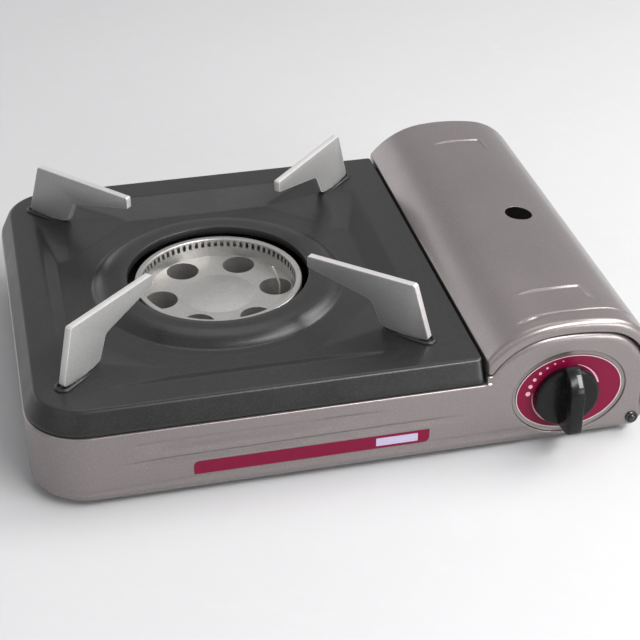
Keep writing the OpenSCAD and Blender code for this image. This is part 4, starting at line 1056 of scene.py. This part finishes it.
def makeLabelField():
    # the label's plain pale field, measured from its right end and its lower and upper edges
    low, high = (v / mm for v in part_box("front_label"))
    r = label["corner"]
    x0, x1 = high.x - label["left"], high.x - label["right"]
    loop = roundedBox(x0, x1, low.z + label["low"], high.z - label["high"], r, r, 3)
    field = prism("labelField", loop, label["thick"], lambda u, v, k: (u, low.y - label["thick"] + k, v))
    dress(field, [lavenderPrint], "base")


makeLabelField()
print("dial and label printed")


foot = {"radius": 8.0, "height": 3.0, "taper": 0.94}


def footNodes(tree, given, put):
    # a rubber foot at each corner of a grid of two by two points
    link = tree.links.new
    places = node(tree, "GeometryNodeMeshGrid", **{"Vertices X": 2, "Vertices Y": 2})
    link(given["Spacing X"], places.inputs["Size X"])
    link(given["Spacing Y"], places.inputs["Size Y"])
    body = node(tree, "GeometryNodeMeshCone", Vertices=48, **{"Side Segments": 3, "Fill Segments": 4})
    link(calculate(tree, "MULTIPLY", given["Foot Radius"], foot["taper"]), body.inputs["Radius Bottom"])
    link(given["Foot Radius"], body.inputs["Radius Top"])
    link(given["Foot Height"], body.inputs["Depth"])
    return places.outputs["Mesh"], body.outputs["Mesh"]


def makeFeet():
    low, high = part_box("feet")
    r = foot["radius"] * mm
    inputs = {"Foot Radius": r, "Foot Height": foot["height"] * mm, "Spacing X": high.x - low.x - 2 * r,
              "Spacing Y": high.y - low.y - 2 * r}
    obj = scatter("rubberFeet", inputs, footRubber, footNodes)
    obj.data.transform(Matrix.Translation(((low.x + high.x) / 2, (low.y + high.y) / 2, 0)))
    dress(obj, [footRubber], "base", ["feet"], 40)


makeFeet()
print("feet made")


def makeHingePins():
    # each pin's head: a flat ring round a small dome
    r, h, tall = pin["shaft"], pin["head"], pin["reach"]
    profile = [(0.0, -pin["inside"]), (r, -pin["inside"]), (r, 0.0), (h, 0.0), (h, 0.8), (h - 0.3, 1.1),
               (r, 1.1), (r - 0.1, 0.7), (r - 0.3, 0.7), (r - 0.4, 1.2), (r - 0.8, 1.7),
               (r - 1.4, tall - 0.12), (0.8, tall - 0.02), (0.0, tall)]
    pins = [lathe("hingePin", profile, 40, lambda x, y, out, wall=wall, way=way:
                  (pin["x"] + x, wall + way * out, pin["z"] + y)) for wall, way in ((front, -1), (back, 1))]
    obj = joinInto(*pins)
    obj.name = "hingePins"
    dress(obj, [pinBlack], "base", ["hinge_pins"], 35)


makeHingePins()
print("hinge pins made")

# the pieces that keep the frame's shape, by their finish
keptPieces = (
    (zinc, "burner_cup burner_bracket mixing_tube electrode_bracket heat_shield regulator_cover"),
    (zinc, "canister_cradle hinge_brackets"), (burnerAlloy, "burner_bowl"),
    (screwSteel, "burner_screws diaphragm_screws shield_screws"),
    (brass, "gas_nozzle canister_ejector valve_spindle"), (ceramic, "electrode_insulator piezo_plunger"),
    (electrodeWire, "spark_electrode"), (leadRubber, "ignition_lead"), (sealRubber, "port_seal"),
    (conductionAluminium, "heat_conduction_plate cradle_rivets"), (magnetBlack, "magnet_ring"),
    (regulatorAlloy, "regulator_block diaphragm_cap"), (igniterPlastic, "piezo_housing igniter_cam"),
    (springSteel, "plunger_spring"), (crimsonPrint, "dial_plate front_label"))


def dressKept():
    for mat, names in keptPieces:
        for name in names.split():
            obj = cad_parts[name]
            if not obj.material_slots:
                obj.data.materials.append(mat)
            for s in obj.material_slots:
                s.material = mat


dressKept()
print("kept pieces dressed")


studio = {"floor": (0.61, 0.61, 0.619), "floorHalf": 3.2, "floorLow": -0.0005, "floorPoints": 41,
          "world": 0.27, "worldTint": (0.98, 0.985, 1.0), "backdrop": (0.55, 0.55, 0.56)}
white = (1.0, 1.0, 1.0)
# each lamp: place, what it is aimed at, width and height in metres, watts and colour
lamps = {"keyPanel": ((1.1, 0.08, 1.08), (0.05, 0.0, 0.03), (0.8, 0.8), 13.0, (1.0, 0.99, 0.975)),
         "backLeftPanel": ((-1.0, 1.15, 0.35), (0.0, 0.0, 0.05), (1.8, 0.8), 4.0, white),
         "frontTopPanel": ((0.6, -0.82, 1.15), (0.08, -0.1, 0.05), (1.1, 0.24), 18.0, white),
         "frontLowPanel": ((1.0, -1.2, 0.44), (0.05, -0.1, 0.04), (0.8, 0.4), 8.0, white),
         "fillPanel": ((-1.1, -0.9, 0.9), (0.0, 0.0, 0.0), (1.2, 1.2), 2.5, (0.97, 0.98, 1.0)),
         "topPanel": ((0.1, 0.55, 1.5), (0.0, 0.0, 0.0), (1.0, 1.0), 4.0, white)}


def makeFloor():
    n, colour = studio["floorPoints"], studio["floor"]
    mesh = bpy.data.meshes.new("floorSheet")
    k = np.linspace(-studio["floorHalf"], studio["floorHalf"], n)
    mesh.from_pydata([(x, y, studio["floorLow"]) for x in k for y in k], [],
                     [(i * n + j, (i + 1) * n + j, (i + 1) * n + j + 1, i * n + j + 1)
                      for i in range(n - 1) for j in range(n - 1)])
    floor = newObject("floorSheet", mesh)
    darker, brighter = (tuple(v * k for v in colour) for k in (0.97, 1.05))
    mat = finish("paleFloor", colour, 0.6, second=darker, patchScale=2.0, grain=brighter, grainShare=0.3,
                 grainScale=60.0, bumpHeight=0.02, bumpScale=300.0, specular=0.2)
    mesh.materials.append(mat)


def makeWorld():
    # the camera and shiny surfaces see the backdrop, and everything else gets the world's soft light
    scene.world = bpy.data.worlds.new("studioWorld")
    scene.world.use_nodes = True
    tree = scene.world.node_tree
    tree.nodes.clear()
    out = node(tree, "ShaderNodeOutputWorld")
    soft = node(tree, "ShaderNodeBackground", Strength=studio["world"], Color=(*studio["worldTint"], 1.0))
    pale = node(tree, "ShaderNodeBackground", Strength=1.0, Color=(*studio["backdrop"], 1.0))
    rays = node(tree, "ShaderNodeLightPath").outputs
    mix = node(tree, "ShaderNodeMixShader")
    seen = calculate(tree, "ADD", calculate(tree, "ADD", rays["Is Camera Ray"], rays["Is Glossy Ray"]),
                     rays["Is Transmission Ray"])
    tree.links.new(seen, mix.inputs["Fac"])
    tree.links.new(soft.outputs[0], mix.inputs[1])
    tree.links.new(pale.outputs[0], mix.inputs[2])
    tree.links.new(mix.outputs[0], out.inputs["Surface"])


def makeLamps():
    for name, (place, aim, (wide, tall), power, tint) in lamps.items():
        data = bpy.data.lights.new(name, "AREA")
        data.shape, data.size, data.size_y, data.energy, data.color = "RECTANGLE", wide, tall, power, tint
        ahead = Vector(aim) - Vector(place)
        turn = ahead.to_track_quat("-Z", "Y").to_matrix().to_4x4()
        newObject(name, data).matrix_world = Matrix.Translation(place) @ turn


makeFloor()
makeWorld()
makeLamps()
scene.view_settings.view_transform = "Standard"
print("studio lit")
